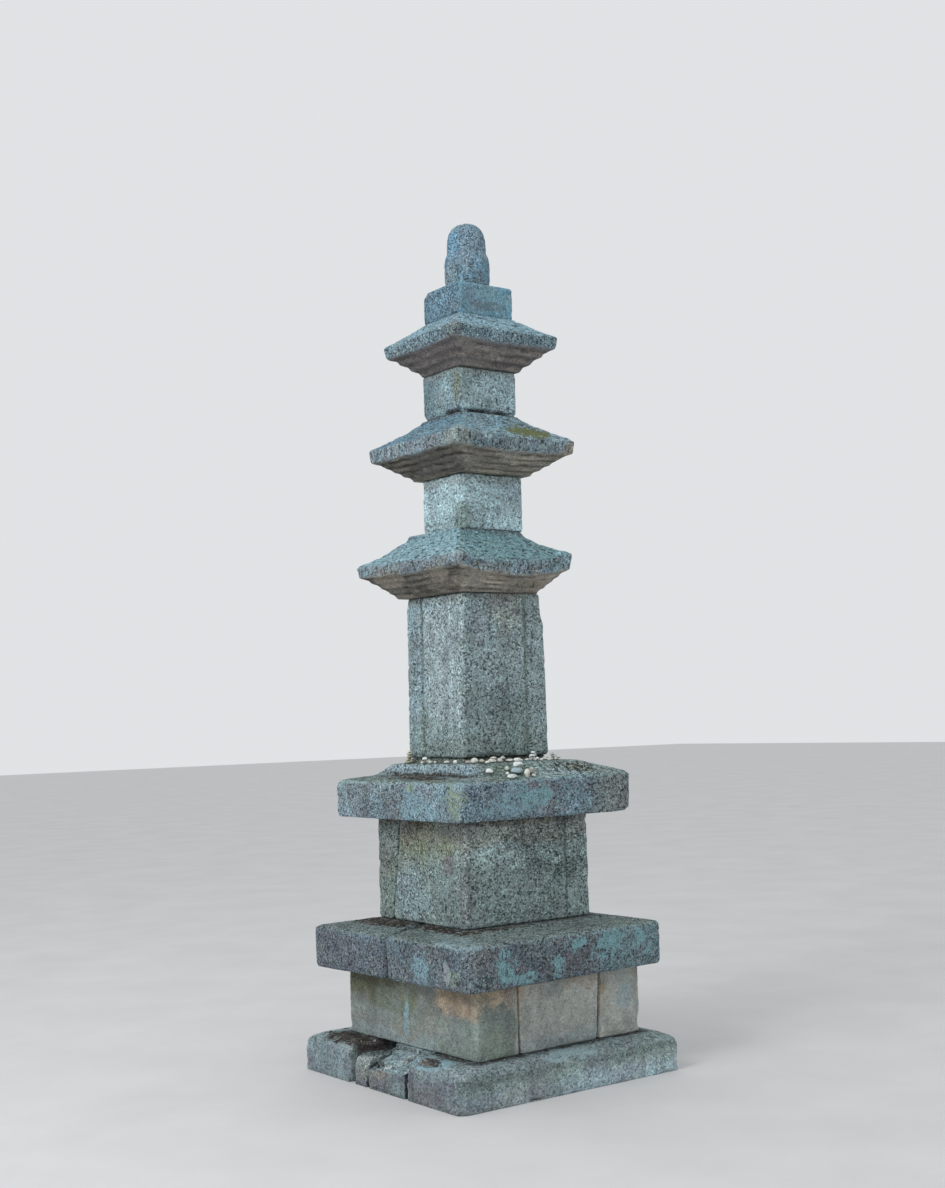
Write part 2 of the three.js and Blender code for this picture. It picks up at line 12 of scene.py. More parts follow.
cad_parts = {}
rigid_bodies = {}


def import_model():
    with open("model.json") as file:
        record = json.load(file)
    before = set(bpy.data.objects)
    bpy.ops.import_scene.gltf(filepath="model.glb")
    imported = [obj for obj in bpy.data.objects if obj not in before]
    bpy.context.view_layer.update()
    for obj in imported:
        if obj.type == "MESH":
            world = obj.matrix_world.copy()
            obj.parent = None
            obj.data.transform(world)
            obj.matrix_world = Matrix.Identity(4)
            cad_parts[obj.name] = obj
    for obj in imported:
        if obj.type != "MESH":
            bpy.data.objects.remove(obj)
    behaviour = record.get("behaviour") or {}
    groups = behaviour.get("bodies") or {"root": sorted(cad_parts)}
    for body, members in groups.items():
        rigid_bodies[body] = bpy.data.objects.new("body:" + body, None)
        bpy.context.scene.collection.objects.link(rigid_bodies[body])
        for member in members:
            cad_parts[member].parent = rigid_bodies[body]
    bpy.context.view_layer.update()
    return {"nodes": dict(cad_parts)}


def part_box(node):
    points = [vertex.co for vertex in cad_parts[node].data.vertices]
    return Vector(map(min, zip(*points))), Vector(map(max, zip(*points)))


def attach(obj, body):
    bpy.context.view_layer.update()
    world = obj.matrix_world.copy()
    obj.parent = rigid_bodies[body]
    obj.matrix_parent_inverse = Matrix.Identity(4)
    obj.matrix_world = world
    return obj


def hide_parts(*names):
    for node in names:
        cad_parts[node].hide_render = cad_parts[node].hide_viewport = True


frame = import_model()

# Linear colours of the stone as it has weathered.
PALE_GREY = (0.33, 0.46, 0.50)
BLUE_GREY = (0.25, 0.35, 0.39)
DARK_BLUE_GREY = (0.225, 0.365, 0.435)
GREEN_GREY = (0.20, 0.26, 0.25)
ALGAE_GREEN = (0.16, 0.215, 0.185)
PURPLE_GREY = (0.17, 0.18, 0.215)
PURPLE_BROWN = (0.14, 0.125, 0.14)
WARM_GREY = (0.21, 0.21, 0.18)
TAN = (0.34, 0.275, 0.20)
LIGHT_TAN = (0.42, 0.335, 0.24)
BROWN = (0.12, 0.10, 0.075)
OLIVE = (0.20, 0.22, 0.12)
# earth, which also paints shade round the feet of the storeys on the roofs
EARTH_AND_SHADE = (0.085, 0.065, 0.05)
STAIN = (0.20, 0.15, 0.09)
FELDSPAR = (0.55, 0.56, 0.54)
CREAM = (0.72, 0.72, 0.66)
STONE_WHITE = (0.76, 0.82, 0.81)

# Linear colours of the litter on the ledges. The darkest also paints shade in crevices and round the
# feet of stones.
NEEDLE_BROWN = (0.050, 0.043, 0.042)
NEEDLE_PALE = (0.20, 0.19, 0.17)
LEAF_DARK_AND_SHADE = (0.035, 0.032, 0.028)

# Linear colours of what grows on it.
CRUST_BLUE = (0.27, 0.44, 0.51)
CRUST_TURQUOISE = (0.23, 0.43, 0.47)
CRUST_PALE = (0.42, 0.56, 0.58)
CRUST_GREY = (0.30, 0.42, 0.46)
CRUST_YELLOW = (0.285, 0.375, 0.27)
LICHEN_DARK = (0.035, 0.045, 0.05)
MOSS = (0.10, 0.11, 0.035)
MOSS_TIP = (0.24, 0.26, 0.095)

LEFT = (-1, 0, 0)
FRONT = (0, -1, 0)
RIGHT = (1, 0, 0)
BACK = (0, 1, 0)
UP = (0, 0, 1)
DOWN = (0, 0, -1)
X, Y, Z = 0, 1, 2

# Noise


def lattice(cell, seed):
    """A repeatable number from -1 to 1 for every whole-numbered cell."""
    mixed = cell[0] * 374761393 + cell[1] * 668265263 + cell[2] * 1274126177
    mixed = (mixed + seed * 144665) & 0xFFFFFFFF
    mixed = ((mixed ^ (mixed >> 13)) * 1274126177) & 0xFFFFFFFF
    mixed ^= mixed >> 16
    return mixed / 2147483648.0 - 1.0


def smooth_noise(points, seed):
    """Noise from -1 to 1 with features about one unit across."""
    base = np.floor(points).astype(np.int64)
    part = points - base
    part = part * part * part * (part * (part * 6 - 15) + 10)
    total = np.zeros(len(points))
    for corner in range(8):
        step = np.array([corner & 1, corner >> 1 & 1, corner >> 2 & 1])
        share = np.prod(np.where(step, part, 1 - part), axis=1)
        total += share * lattice((base + step).T, seed)
    return total


def fractal(points, size, seed, octaves):
    """Layered noise, about -1 to 1, whose largest features are size across. size may differ by axis."""
    total, weight, reach = 0.0, 1.0, 0.0
    scaled = points / np.asarray(size, float)
    for octave in range(octaves):
        total = total + weight * smooth_noise(scaled * 2**octave + 17.3 * octave, seed + octave)
        reach += weight
        weight /= 2
    return total / reach * 1.6


def ease(value, low, high):
    """0 below low, 1 above high, and a smooth rise between. low may be the larger one."""
    share = np.clip((value - low) / (high - low), 0, 1)
    return share * share * (3 - 2 * share)


def column(mask):
    """A mask from 0 to 1 as a column, so that it can multiply colours."""
    return np.reshape(np.clip(mask, 0, 1), (-1, 1))


# Stone surfaces

GAIN = 1.42  # gives back what the pits and dark specks take from a painted tone
BED_DEPTH = 0.004  # how far from its lower and upper bed a stone keeps its level faces


class Surface:
    """The vertices of one stone, with the colours and growths that are painted on them.

    bend is how far each vertex stands out of a much smoother stone: more than 0 along an arris,
    less than 0 in a hollow.
    """

    def __init__(self, co, normal, seed, bend=None):
        self.co = co
        self.normal = normal
        self.seed = seed
        self.tone = np.zeros((len(co), 3))
        self.crust = np.tile(CRUST_BLUE, (len(co), 1))
        self.growth = np.tile((0.0, 0, 0, 1), (len(co), 1))  # dark lichen, crust lichen, moss, grain
        self.arris = np.zeros(len(co)) if bend is None else ease(bend, 0.0015, 0.0065)
        self.hollow = np.zeros(len(co)) if bend is None else ease(bend, -0.0012, -0.0055)

    def noise(self, size, offset=0, octaves=4):
        return fractal(self.co, size, self.seed + 101 * offset, octaves)

    def facing(self, direction, low=0.35, high=0.75):
        """1 where the surface looks along direction, 0 where it looks away."""
        return ease(self.normal @ np.asarray(direction, float), low, high)

    def upright(self):
        return ease(np.abs(self.normal[:, Z]), 0.7, 0.35)

    def blob(self, centre, radii, ragged=0.35, grain=0.07, soft=0.22):
        """1 inside a ragged patch round centre, 0 outside it."""
        distance = np.linalg.norm((self.co - centre) / np.asarray(radii, float), axis=1)
        distance = distance + ragged * self.noise(grain, 1)
        return ease(distance, 1 + soft, 1 - soft)

    def band(self, axis, low, high, ragged=0.02, grain=0.08, offset=2, soft=0.015):
        """1 between two levels along an axis, with ragged limits."""
        place = self.co[:, axis] + ragged * self.noise(grain, offset)
        return ease(place, low - soft, low + soft) * ease(place, high + soft, high - soft)

    def patches(self, size, share, offset):
        """1 in scattered patches about size across, which cover more stone for a larger share."""
        middle = 0.75 - 1.5 * share
        return ease(self.noise(size, offset), middle - 0.25, middle + 0.25)

    def round_foot(self, node, reach):
        """1 on the upper surface just outside the foot of the stone that stands on it."""
        low, high = (np.array(corner)[:2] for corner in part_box(node))
        plan = self.co[:, :2]
        gap = np.maximum(low - plan, plan - high).max(axis=1)
        gap = gap + 0.35 * reach * self.noise(0.07, 21)
        return ease(gap, reach, 0.2 * reach) * self.facing(UP, 0.2, 0.6)

    def seam(self, across, at, side, width=0.007):
        """1 along an upright line on one side of the stone, at a place on the axis across it."""
        off = np.abs(self.co[:, across] - at + 0.003 * self.noise(0.10, 31, 2))
        return ease(off, 1.7 * width, 0.6 * width) * self.facing(side)

    def wash(self, colour, mask=1.0):
        """Lays a colour over the stone wherever mask is 1."""
        self.tone += (np.asarray(colour) - self.tone) * column(mask)

    def shade(self, factor, mask=1.0):
        """Darkens or lightens the stone by factor wherever mask is 1."""
        self.tone *= 1 + (factor - 1) * column(mask)

    def darken(self, amount, mask=1.0):
        """Adds dark lichen specks."""
        self.growth[:, 0] += amount * mask

    def encrust(self, colour, amount, mask):
        """Adds crust lichen of a colour."""
        share = column(mask) * np.ones((len(self.co), 1))
        self.crust += (np.asarray(colour) - self.crust) * share
        self.growth[:, 1] += amount * share[:, 0]

    def moss(self, amount, mask):
        self.growth[:, 2] += amount * mask

    def smooth(self, grain, mask=1.0):
        """Lets the crystals show by only this share wherever mask is 1."""
        self.growth[:, 3] *= 1 + (grain - 1) * mask


def bare_copy(node):
    """The CAD node's mesh with its doubled corners merged."""
    mesh = frame["nodes"][node].data.copy()
    mesh.materials.clear()
    bm = bmesh.new()
    bm.from_mesh(mesh)
    bmesh.ops.remove_doubles(bm, verts=bm.verts, dist=1e-5)
    bm.to_mesh(mesh)
    bm.free()
    return mesh


def remeshed(mesh, voxel):
    """The same solid in even quads of about voxel across."""
    carrier = bpy.data.objects.new("carrier", mesh)
    bpy.context.scene.collection.objects.link(carrier)
    modifier = carrier.modifiers.new("even", "REMESH")
    modifier.mode = "VOXEL"
    modifier.voxel_size = voxel
    depsgraph = bpy.context.evaluated_depsgraph_get()
    made = bpy.data.meshes.new_from_object(carrier.evaluated_get(depsgraph))
    bpy.data.objects.remove(carrier)
    return made


def numbers(collection, name, width, kind=np.float64):
    """A property of every vertex, edge or normal as an array."""
    values = np.empty(len(collection) * width, kind)
    collection.foreach_get(name, values)
    return values.reshape(-1, width) if width > 1 else values


def relaxed(co, edges, rounds):
    """The points after each has moved halfway to its neighbours' mean, so many times over."""
    a, b = edges.T
    count = np.bincount(a, minlength=len(co)) + np.bincount(b, minlength=len(co))
    for _ in range(rounds):
        total = np.stack(
            [
                np.bincount(a, co[b, axis], len(co)) + np.bincount(b, co[a, axis], len(co))
                for axis in range(3)
            ],
            axis=1,
        )
        co = (co + total / count[:, None]) / 2
    return co


def weathering_depth(s, rough):
    """How deep frost and rain have cut each vertex back."""
    co, seed = s.co, s.seed
    depth = 0.0016 * (1 + fractal(co, 0.30, seed + 3, 2))
    depth += 0.0013 * (1 + fractal(co, 0.06, seed + 5, 3))
    depth += 0.0011 * (1 + fractal(co, 0.022, seed + 7, 2))
    pits = ease(fractal(co, 0.045, seed + 9, 2), 0.55, 0.95)
    nicks = ease(fractal(co, 0.050, seed + 15, 3), 0.1, 0.8)
    chips = ease(fractal(co, 0.12, seed + 19, 3), 0.55, 0.85)
    return (depth + 0.0045 * pits + (0.0035 * nicks + 0.0090 * chips) * s.arris) * rough


def dress(node, look, paint, voxel, wear, rough, seed, carve=None):
    """Builds the weathered stone that stands for a CAD node, paints it and puts it in the scene.

    look is its slot, which is not used, and its material, voxel the size of its facets, wear how far
    its arrises have rounded and rough how uneven its faces are. carve takes the surface and returns
    how much deeper each vertex is cut back.
    """
    low, high = (np.array(corner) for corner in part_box(node))
    mesh = remeshed(bare_copy(node), voxel)
    co = numbers(mesh.vertices, "co", 3)
    edges = numbers(mesh.edges, "vertices", 2, np.int32)

    crisp = relaxed(co, edges, 2)
    blunt = relaxed(crisp, edges, round(3 + 13 * wear))
    worn = ease(fractal(co, 0.14, seed, 3), 0.75 - wear, 1.15 - wear * 0.6)[:, None]
    rounded = crisp + (blunt - crisp) * (0.15 + 0.85 * worn)

    mesh.vertices.foreach_set("co", rounded.ravel())
    mesh.update()
    normal = numbers(mesh.vertex_normals, "vector", 3)
    bend = np.einsum("ij,ij->i", rounded - relaxed(rounded, edges, 24), normal)
    surface = Surface(rounded, normal, seed, bend)

    depth = weathering_depth(surface, rough)
    if carve:
        depth = depth + carve(surface)
    height = rounded[:, Z]
    at_bed = (height < low[Z] + BED_DEPTH) | (height > high[Z] - BED_DEPTH)
    depth[at_bed & (np.abs(normal[:, Z]) > 0.9)] = 0
    surface.co = np.clip(rounded - normal * depth[:, None], low, high)

    mesh.vertices.foreach_set("co", surface.co.ravel())
    mesh.update()
    surface.normal = numbers(mesh.vertex_normals, "vector", 3)
    paint(surface)
    surface.tone *= GAIN
    store(mesh, surface)
    place(node, mesh, *look, node)


def store(mesh, surface):
    """Keeps the painted colours and growths on the mesh, where its material reads them."""
    for name in ("tone", "crust", "growth"):
        values = np.ones((len(surface.co), 4))
        painted = np.maximum(getattr(surface, name), 0)
        values[:, : painted.shape[1]] = painted
        mesh.attributes.new(name, "FLOAT_COLOR", "POINT").data.foreach_set("color", values.ravel())
    mesh.shade_smooth()


def place(name, mesh, slot, material, *nodes):
    """Adds a finished mesh as a piece of the pagoda, standing for these CAD nodes."""
    mesh.name = f"{name}_mesh"
    mesh.materials.clear()
    mesh.materials.append(material)
    piece = bpy.data.objects.new(f"{name}_stone" if nodes else name, mesh)
    bpy.context.scene.collection.objects.link(piece)
    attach(piece, "root")
    if nodes:
        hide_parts(*nodes)


# Materials


class Nodes:
    """Short ways to add and join the nodes of one material."""

    def __init__(self, name):
        self.material = bpy.data.materials.new(name)
        self.material.use_nodes = True
        self.tree = self.material.node_tree
        self.tree.nodes.clear()
        self.place = self.add("ShaderNodeTexCoord", {}).outputs["Object"]

    def add(self, kind, feeds, **settings):
        """A node whose inputs, by name or number, are fed with values or with other nodes' outputs."""
        node = self.tree.nodes.new(kind)
        for key, value in settings.items():
            setattr(node, key, value)
        for key, value in feeds.items():
            if isinstance(value, bpy.types.NodeSocket):
                self.tree.links.new(value, node.inputs[key])
            else:
                node.inputs[key].default_value = value
        return node

    def stretched(self, stretch):
        """The place on the stone, with each axis drawn out or pressed together."""
        return self.add("ShaderNodeMapping", {"Vector": self.place, "Scale": stretch}).outputs[0]

    def warped(self, scale, amount):
        """The place on the stone, pushed about by noise so that cell borders turn ragged."""
        source = self.add("ShaderNodeTexNoise", {"Vector": self.place, "Scale": scale})
        middle = (0.5, 0.5, 0.5)
        feeds = {0: source.outputs["Color"], 1: middle}
        centred = self.add("ShaderNodeVectorMath", feeds, operation="SUBTRACT")
        feeds = {0: centred.outputs[0], 1: (amount, amount, amount), 2: self.place}
        return self.add("ShaderNodeVectorMath", feeds, operation="MULTIPLY_ADD").outputs[0]

    def noise(self, scale, detail=3.0, roughness=0.55, stretch=None):
        place = self.stretched(stretch) if stretch else self.place
        feeds = {"Vector": place, "Scale": scale, "Detail": detail, "Roughness": roughness}
        return self.add("ShaderNodeTexNoise", feeds).outputs["Fac"]

    def cells(self, scale, vector=None):
        """Cells across the stone: their colour, and the distance from their middle."""
        node = self.add("ShaderNodeTexVoronoi", {"Vector": vector or self.place, "Scale": scale})
        return node.outputs["Color"], node.outputs["Distance"]

    def attribute(self, name, output="Color"):
        return self.add("ShaderNodeAttribute", {}, attribute_name=name).outputs[output]

    def split(self, colour):
        return self.add("ShaderNodeSeparateColor", {"Color": colour}).outputs

    def math(self, operation, a, b=0.0):
        return self.add("ShaderNodeMath", {0: a, 1: b}, operation=operation).outputs[0]

    def product(self, a, b):
        return self.math("MULTIPLY", a, b)

    def total(self, *weighted):
        """The sum of values, each given with its weight."""
        result = None
        for value, weight in weighted:
            part = self.product(value, weight)
            result = part if result is None else self.math("ADD", result, part)
        return result

    def remap(self, value, low, high, to_low=0.0, to_high=1.0):
        feeds = dict(enumerate((value, low, high, to_low, to_high)))
        return self.add("ShaderNodeMapRange", feeds, interpolation_type="SMOOTHSTEP").outputs[0]

    def ramp(self, value, *stops):
        """A grey level for each value from 0 to 1, through stops of (place, level)."""
        node = self.add("ShaderNodeValToRGB", {"Fac": value})
        elements = node.color_ramp.elements
        for element, (place_on_ramp, level) in zip(elements, stops):
            element.position, element.color = place_on_ramp, opaque((level,) * 3)
        for place_on_ramp, level in stops[2:]:
            elements.new(place_on_ramp).color = opaque((level,) * 3)
        return node.outputs["Color"]

    def blend(self, mode, factor, a, b):
        feeds = {"Factor": factor, "A": a, "B": b}
        node = self.add("ShaderNodeMix", feeds, data_type="RGBA", blend_type=mode)
        return node.outputs["Result"]

    def times(self, colour, levels, share=1.0):
        """The colour multiplied by levels."""
        return self.blend("MULTIPLY", share, colour, levels)

    def under(self, cover, colour, share, most):
        """The colour under a cover that hides it by share, and by most of it at the most."""
        return self.blend("MIX", self.product(share, most), colour, cover)

    def bump(self, height, distance, strength=1.0):
        feeds = {"Height": height, "Distance": distance, "Strength": strength}
        return self.add("ShaderNodeBump", feeds).outputs["Normal"]

    def finish(self, colour, roughness, normal, specular=0.2):
        feeds = {"Base Color": colour, "Roughness": roughness, "Normal": normal}
        shader = self.add("ShaderNodeBsdfPrincipled", {**feeds, "Specular IOR Level": specular})
        self.add("ShaderNodeOutputMaterial", {"Surface": shader.outputs[0]})
        return self.material


def opaque(colour):
    return (*colour, 1)


# How much darker or paler than its tone the stone is, by crystal: place from 0 to 1, and level.
CRYSTAL_LEVELS = ((0.0, -0.80), (0.18, -0.50), (0.34, -0.02), (0.70, 0.06), (0.86, 0.38), (1.0, 0.72))
SMALL_CRYSTAL_LEVELS = ((0.0, -0.58), (0.30, -0.05), (0.75, 0.08), (1.0, 0.40))


def granite(name, grain, specks, flecks=0.0):
    """Weathered granite: mineral grains over the painted tone, with what grows on it.

    grain is how strongly its crystals show, specks how many dark lichen dots it has, and flecks
    how far rain has drawn them out: into upright strokes on its sides and level dashes on top.
    Scales are in features a metre.
    """
    n = Nodes(name)
    growth = n.split(n.attribute("growth"))
    ragged = n.warped(180.0, 0.006)
    crystal, crystal_edge = n.cells(118.0, ragged)
    small_crystal, _ = n.cells(240.0, ragged)
    shows = n.attribute("growth", "Alpha")

    colour = n.attribute("tone")
    for value, levels in (
        (n.split(crystal)["Red"], CRYSTAL_LEVELS),
        (n.split(small_crystal)["Green"], SMALL_CRYSTAL_LEVELS),
    ):
        grains = n.ramp(value, *((at, 1 + level * grain) for at, level in levels))
        colour = n.times(colour, grains, shows)
    feldspar = n.product(n.remap(n.split(crystal)["Blue"], 0.84, 0.90), 0.24 * grain)
    colour = n.under(opaque(FELDSPAR), colour, feldspar, shows)
    knobs = n.remap(crystal_edge, 0.55, 0.10)
    colour = n.times(colour, n.ramp(knobs, (0.0, 0.84), (1.0, 1.10)))
    colour = n.times(colour, n.ramp(n.noise(24.0, 5.0, 0.65), (0.28, 0.84), (0.72, 1.16)))

    crust_spread = n.total((n.noise(52.0, 5.0, 0.74), 1.0), (growth["Green"], 0.30))
    crust = n.remap(crust_spread, 0.65, 0.72)
    crust_grain = n.ramp(n.noise(130.0, 3.0, 0.7), (0.3, 0.70), (0.7, 1.45))
    colour = n.under(n.times(n.attribute("crust"), crust_grain), colour, crust, 0.80)

    speck_spread = n.total((n.noise(150.0, 2.0, 0.6), 1.0), (growth["Red"], 0.20))
    speck = n.remap(speck_spread, 0.685 - 0.1 * specks, 0.72 - 0.1 * specks)
    spot_spread = n.total((n.noise(62.0, 4.0, 0.70), 1.0), (growth["Red"], 0.20))
    spot = n.remap(spot_spread, 0.73 - 0.07 * specks, 0.77 - 0.07 * specks)
    dark = n.math("MAXIMUM", speck, spot)
    if flecks:
        normal = n.add("ShaderNodeNewGeometry", {}).outputs["Normal"]
        tilt = n.add("ShaderNodeSeparateXYZ", {0: normal}).outputs["Z"]
        flat = n.remap(tilt, 0.35, 0.75)
        upright = n.remap(n.math("ABSOLUTE", tilt), 0.75, 0.35)
        more = 0.1 * flecks
        stroke = n.remap(n.noise(84.0, 3.0, 0.6, (1.0, 1.0, 0.28)), 0.65 - more, 0.69 - more)
        dash = n.remap(n.noise(30.0, 1.6, 0.5, (1.0, 1.0, 2.8)), 0.695 - more, 0.715 - more)
        lines = n.math("MAXIMUM", n.product(stroke, upright), n.product(dash, flat))
        dark = n.math("MAXIMUM", dark, lines)
    colour = n.under(opaque(LICHEN_DARK), colour, dark, 0.82)

    moss_spread = n.total((n.noise(70.0, 5.0, 0.66), 1.0), (growth["Blue"], 0.30))
    moss = n.remap(moss_spread, 0.64, 0.72)
    tips = n.remap(n.noise(140.0, 4.0, 0.7), 0.42, 0.60)
    cushion = n.blend("MIX", tips, opaque(MOSS), opaque(MOSS_TIP))
    colour = n.under(cushion, colour, moss, 0.92)

    height = n.total(
        (knobs, 0.55),
        (n.noise(150.0, 4.0, 0.7), 0.6),
        (n.noise(42.0, 5.0, 0.62), 1.2),
        (dark, -0.55),
        (crust, 0.20),
        (moss, 0.70),
    )
    roughness = n.remap(n.noise(40.0), 0.3, 0.7, 0.84, 0.98)
    return n.finish(colour, roughness, n.bump(height, 0.0055))


def pebble_stone(name):
    """Smooth pale river pebbles with faint veins and dirt in their pits."""
    n = Nodes(name)
    vein = n.ramp(n.noise(60.0, 4.0, 0.6), (0.28, 0.75), (0.55, 1.15), (0.80, 1.25))
    colour = n.times(n.attribute("tone"), vein)
    colour = n.times(colour, n.ramp(n.noise(260.0, 2.0), (0.30, 0.74), (0.70, 1.12)))
    stain = n.remap(n.noise(85.0, 4.0, 0.65), 0.63, 0.72)
    colour = n.under(opaque(STAIN), colour, stain, 0.65)
    height = n.total((n.noise(180.0), 1.0), (stain, -0.4))
    roughness = n.remap(n.noise(80.0), 0.3, 0.7, 0.55, 0.8)
    return n.finish(colour, roughness, n.bump(height, 0.002, 0.8), 0.35)


def packed_earth(name):
    """Earth and broken stone inside the platform."""
    n = Nodes(name)
    lump, lump_edge = n.cells(28.0)
    lumps = n.ramp(n.split(lump)["Red"], (0.0, 0.4), (0.6, 0.8), (1.0, 1.8))
    colour = n.times(lumps, opaque(EARTH_AND_SHADE))
    height = n.total((lump_edge, 1.0), (n.noise(60.0, 5.0), 1.0))
    return n.finish(colour, 0.95, n.bump(height, 0.02))


def dry_litter(name):
    """Dead pine needles, leaves and bits of bark."""
    n = Nodes(name)
    colour = n.times(n.attribute("tone"), n.ramp(n.noise(45.0), (0.3, 0.6), (0.7, 1.4)))
    return n.finish(colour, 0.85, n.bump(n.noise(300.0), 0.0008))


GRANITE = granite("speckled_granite", 1.02, 0.12)
FINE_GRANITE = granite("fine_granite", 0.85, 0.0)
SLAB_GRANITE = granite("slab_granite", 0.62, -0.3)
CAP_GRANITE = granite("cap_granite_stone", 1.0, 0.3, 0.3)
ROOF_GRANITE = granite("roof_granite_stone", 0.85, 0.2, 0.8)
PEBBLE = pebble_stone("pale_pebble")
PACKED_EARTH = packed_earth("packed_earth")
LITTER = dry_litter("dry_litter")

# Slot and material of each kind of stone.
GROUND = ("ground_granite", FINE_GRANITE)
LOWER_BODY = ("platform_granite", SLAB_GRANITE)
UPPER_BODY = ("platform_granite", GRANITE)
CAP = ("cap_granite", CAP_GRANITE)
STOREY = ("body_granite", GRANITE)
FINE_STOREY = ("body_granite", FINE_GRANITE)
ROOF = ("roof_granite", ROOF_GRANITE)
FINIAL = ("finial_granite", FINE_GRANITE)
VOTIVE = ("votive_pebble", PEBBLE)


def weathered(s, dark=0.0, rain=0.14):
    """What all the stones share: mottling, streaks of rain, paler arrises and painted shade in hollows.
    """
    s.wash(PURPLE_GREY, 0.30 * s.patches(0.10, 0.35, 16))
    s.wash(GREEN_GREY, 0.30 * s.patches(0.12, 0.35, 17))
    s.shade(0.82, ease(s.noise(0.24, 11), 0.1, 0.7))
    s.shade(1.16, ease(s.noise(0.16, 12), 0.15, 0.7))
    s.shade(0.92, ease(s.noise(0.05, 14, 3), 0.15, 0.75))
    s.shade(1.08, ease(s.noise(0.04, 15, 3), 0.2, 0.8))
    streaks = fractal(s.co, (0.035, 0.035, 0.45), s.seed + 13, 3)
    s.shade(1 - rain, s.upright() * ease(streaks, 0.15, 0.6))
    # painted shade in the hollows
    s.shade(0.62, s.hollow)
    s.shade(1.14, s.arris)
    s.darken(dark)


def painted_joint_shade(s):
    """Paints shade on the stone where it meets the ones over and under it."""
    height = s.co[:, Z]
    near = np.minimum(height - height.min(), height.max() - height)
    s.shade(0.35, ease(near, 0.009, 0.003))


# The ground course


GROUND_GREY = (0.215, 0.29, 0.315)


def painted_end_joint_shade(s):
    """Paints shade in the joints at both ends of the spalled stone, on it and on what they meet."""
    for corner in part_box("ground_course_left_spalled"):
        off = np.abs(s.co[:, Y] - corner.y + 0.003 * s.noise(0.10, 31, 2))
        s.shade(0.30, ease(off, 0.012, 0.004) * s.facing(LEFT, -0.3, 0.2))


def paint_ground(s):
    s.wash(GROUND_GREY)
    side = 1 - s.facing(UP)
    front = s.facing(FRONT)
    s.wash(PURPLE_GREY, (0.8 - 0.4 * front) * s.patches(0.20, 0.5, 4) * side)
    s.wash(WARM_GREY, 0.35 * s.patches(0.30, 0.35, 5))
    s.wash(GREEN_GREY, 0.75 * front * s.band(Z, 0.095, 0.19, 0.035, 0.15))
    s.wash(ALGAE_GREEN, 0.45 * s.band(X, 0.42, 0.80, 0.10, 0.3) * s.band(Z, 0.08, 0.22))
    s.wash((0.215, 0.28, 0.29), 0.8 * s.facing(UP) * s.patches(0.20, 0.75, 6))
    rim = s.band(Z, 0.150, 0.205, 0.012, 0.06)
    s.encrust((0.33, 0.42, 0.44), 0.50, rim * s.patches(0.12, 0.65, 7))
    # painted shade on the left faces, which the lamp lights
    s.shade(0.86, s.facing(LEFT))
    s.encrust((0.30, 0.42, 0.45), 0.45, s.blob((-0.013, -0.714, 0.185), (0.16, 0.10, 0.03)))
    s.shade(0.93)
    s.shade(0.80, s.band(Z, -0.02, 0.018, 0.01, 0.05))
    weathered(s, 0.1)
    # painted light on the low front face, as thrown up from the pale floor
    floor_bounce_light = front * s.band(Z, -0.20, 0.115, 0.02, 0.12, soft=0.035)
    s.shade(1.48, floor_bounce_light * s.band(X, -0.55, 1.0, 0.05, 0.2, soft=0.12))
    s.shade(1.16, floor_bounce_light * s.band(X, 0.0, 1.0, 0.05, 0.2, soft=0.12))
    near_corner = s.band(X, -0.90, -0.36, 0.05, 0.2, soft=0.08)
    s.shade(0.72, front * near_corner * s.band(Z, 0.11, 0.185, 0.02, 0.1))
    s.smooth(0.75, side)
    # litter and painted shade round the feet of the lower platform
    for foot in ("lower_body_left", "lower_body_front", "lower_body_right", "lower_body_back"):
        s.wash(LEAF_DARK_AND_SHADE, 0.85 * s.round_foot(foot, 0.04))
    painted_end_joint_shade(s)


CHIP_PLACE = (-0.642, -0.375, 0.19)


def oval_chip(s):
    return s.blob(CHIP_PLACE, (0.042, 0.085, 0.05), 0.10, 0.05, soft=0.12)


def carve_ground_front(s):
    return 0.013 * oval_chip(s)


def paint_ground_front(s):
    paint_ground(s)
    s.encrust(CRUST_BLUE, 0.5, s.blob(CHIP_PLACE, (0.07, 0.13, 0.06)))
    s.growth[:, 1] -= 0.5 * oval_chip(s)
    s.wash((0.17, 0.16, 0.145), 0.85 * oval_chip(s))
    # a dark line along the inner edge of the chip
    s.wash(LEAF_DARK_AND_SHADE, 0.9 * s.blob((-0.612, -0.37, 0.185), (0.016, 0.075, 0.03), 0.2, 0.03))


def paint_ground_back(s):
    paint_ground(s)
    s.shade(1.20)
    # the dark void by the sliver: litter and painted shade
    s.wash((0.075, 0.05, 0.05), 0.85 * s.blob((-0.57, 0.22, 0.18), (0.12, 0.13, 0.06), 0.3, 0.06))
    s.wash(LEAF_DARK_AND_SHADE, 0.8 * s.blob((-0.61, 0.40, 0.18), (0.08, 0.20, 0.05), 0.35, 0.06))


def shards(s):
    """How many layers have flaked off the broken top, from 0 to 4, with a sharp edge at each."""
    place = 3.5 * s.noise((0.12, 0.30, 0.12), 41, 3)
    layers = sum(ease(place, edge, edge + 0.12) for edge in (-1.8, -0.6, 0.6, 1.8))
    return layers * s.facing(UP, 0.2, 0.5)


def off_the_crack(s):
    """How far each vertex lies behind the crack that runs in across the broken top."""
    return s.co[:, Y] + 0.047 + 0.447 * (s.co[:, X] + 0.714) + 0.006 * s.noise(0.06, 43, 2)


def cracked(s):
    return ease(np.abs(off_the_crack(s)), 0.013, 0.005) * s.facing(UP, 0.1, 0.4)


def carve_spalled(s):
    return 0.011 * shards(s) + 0.012 * cracked(s)


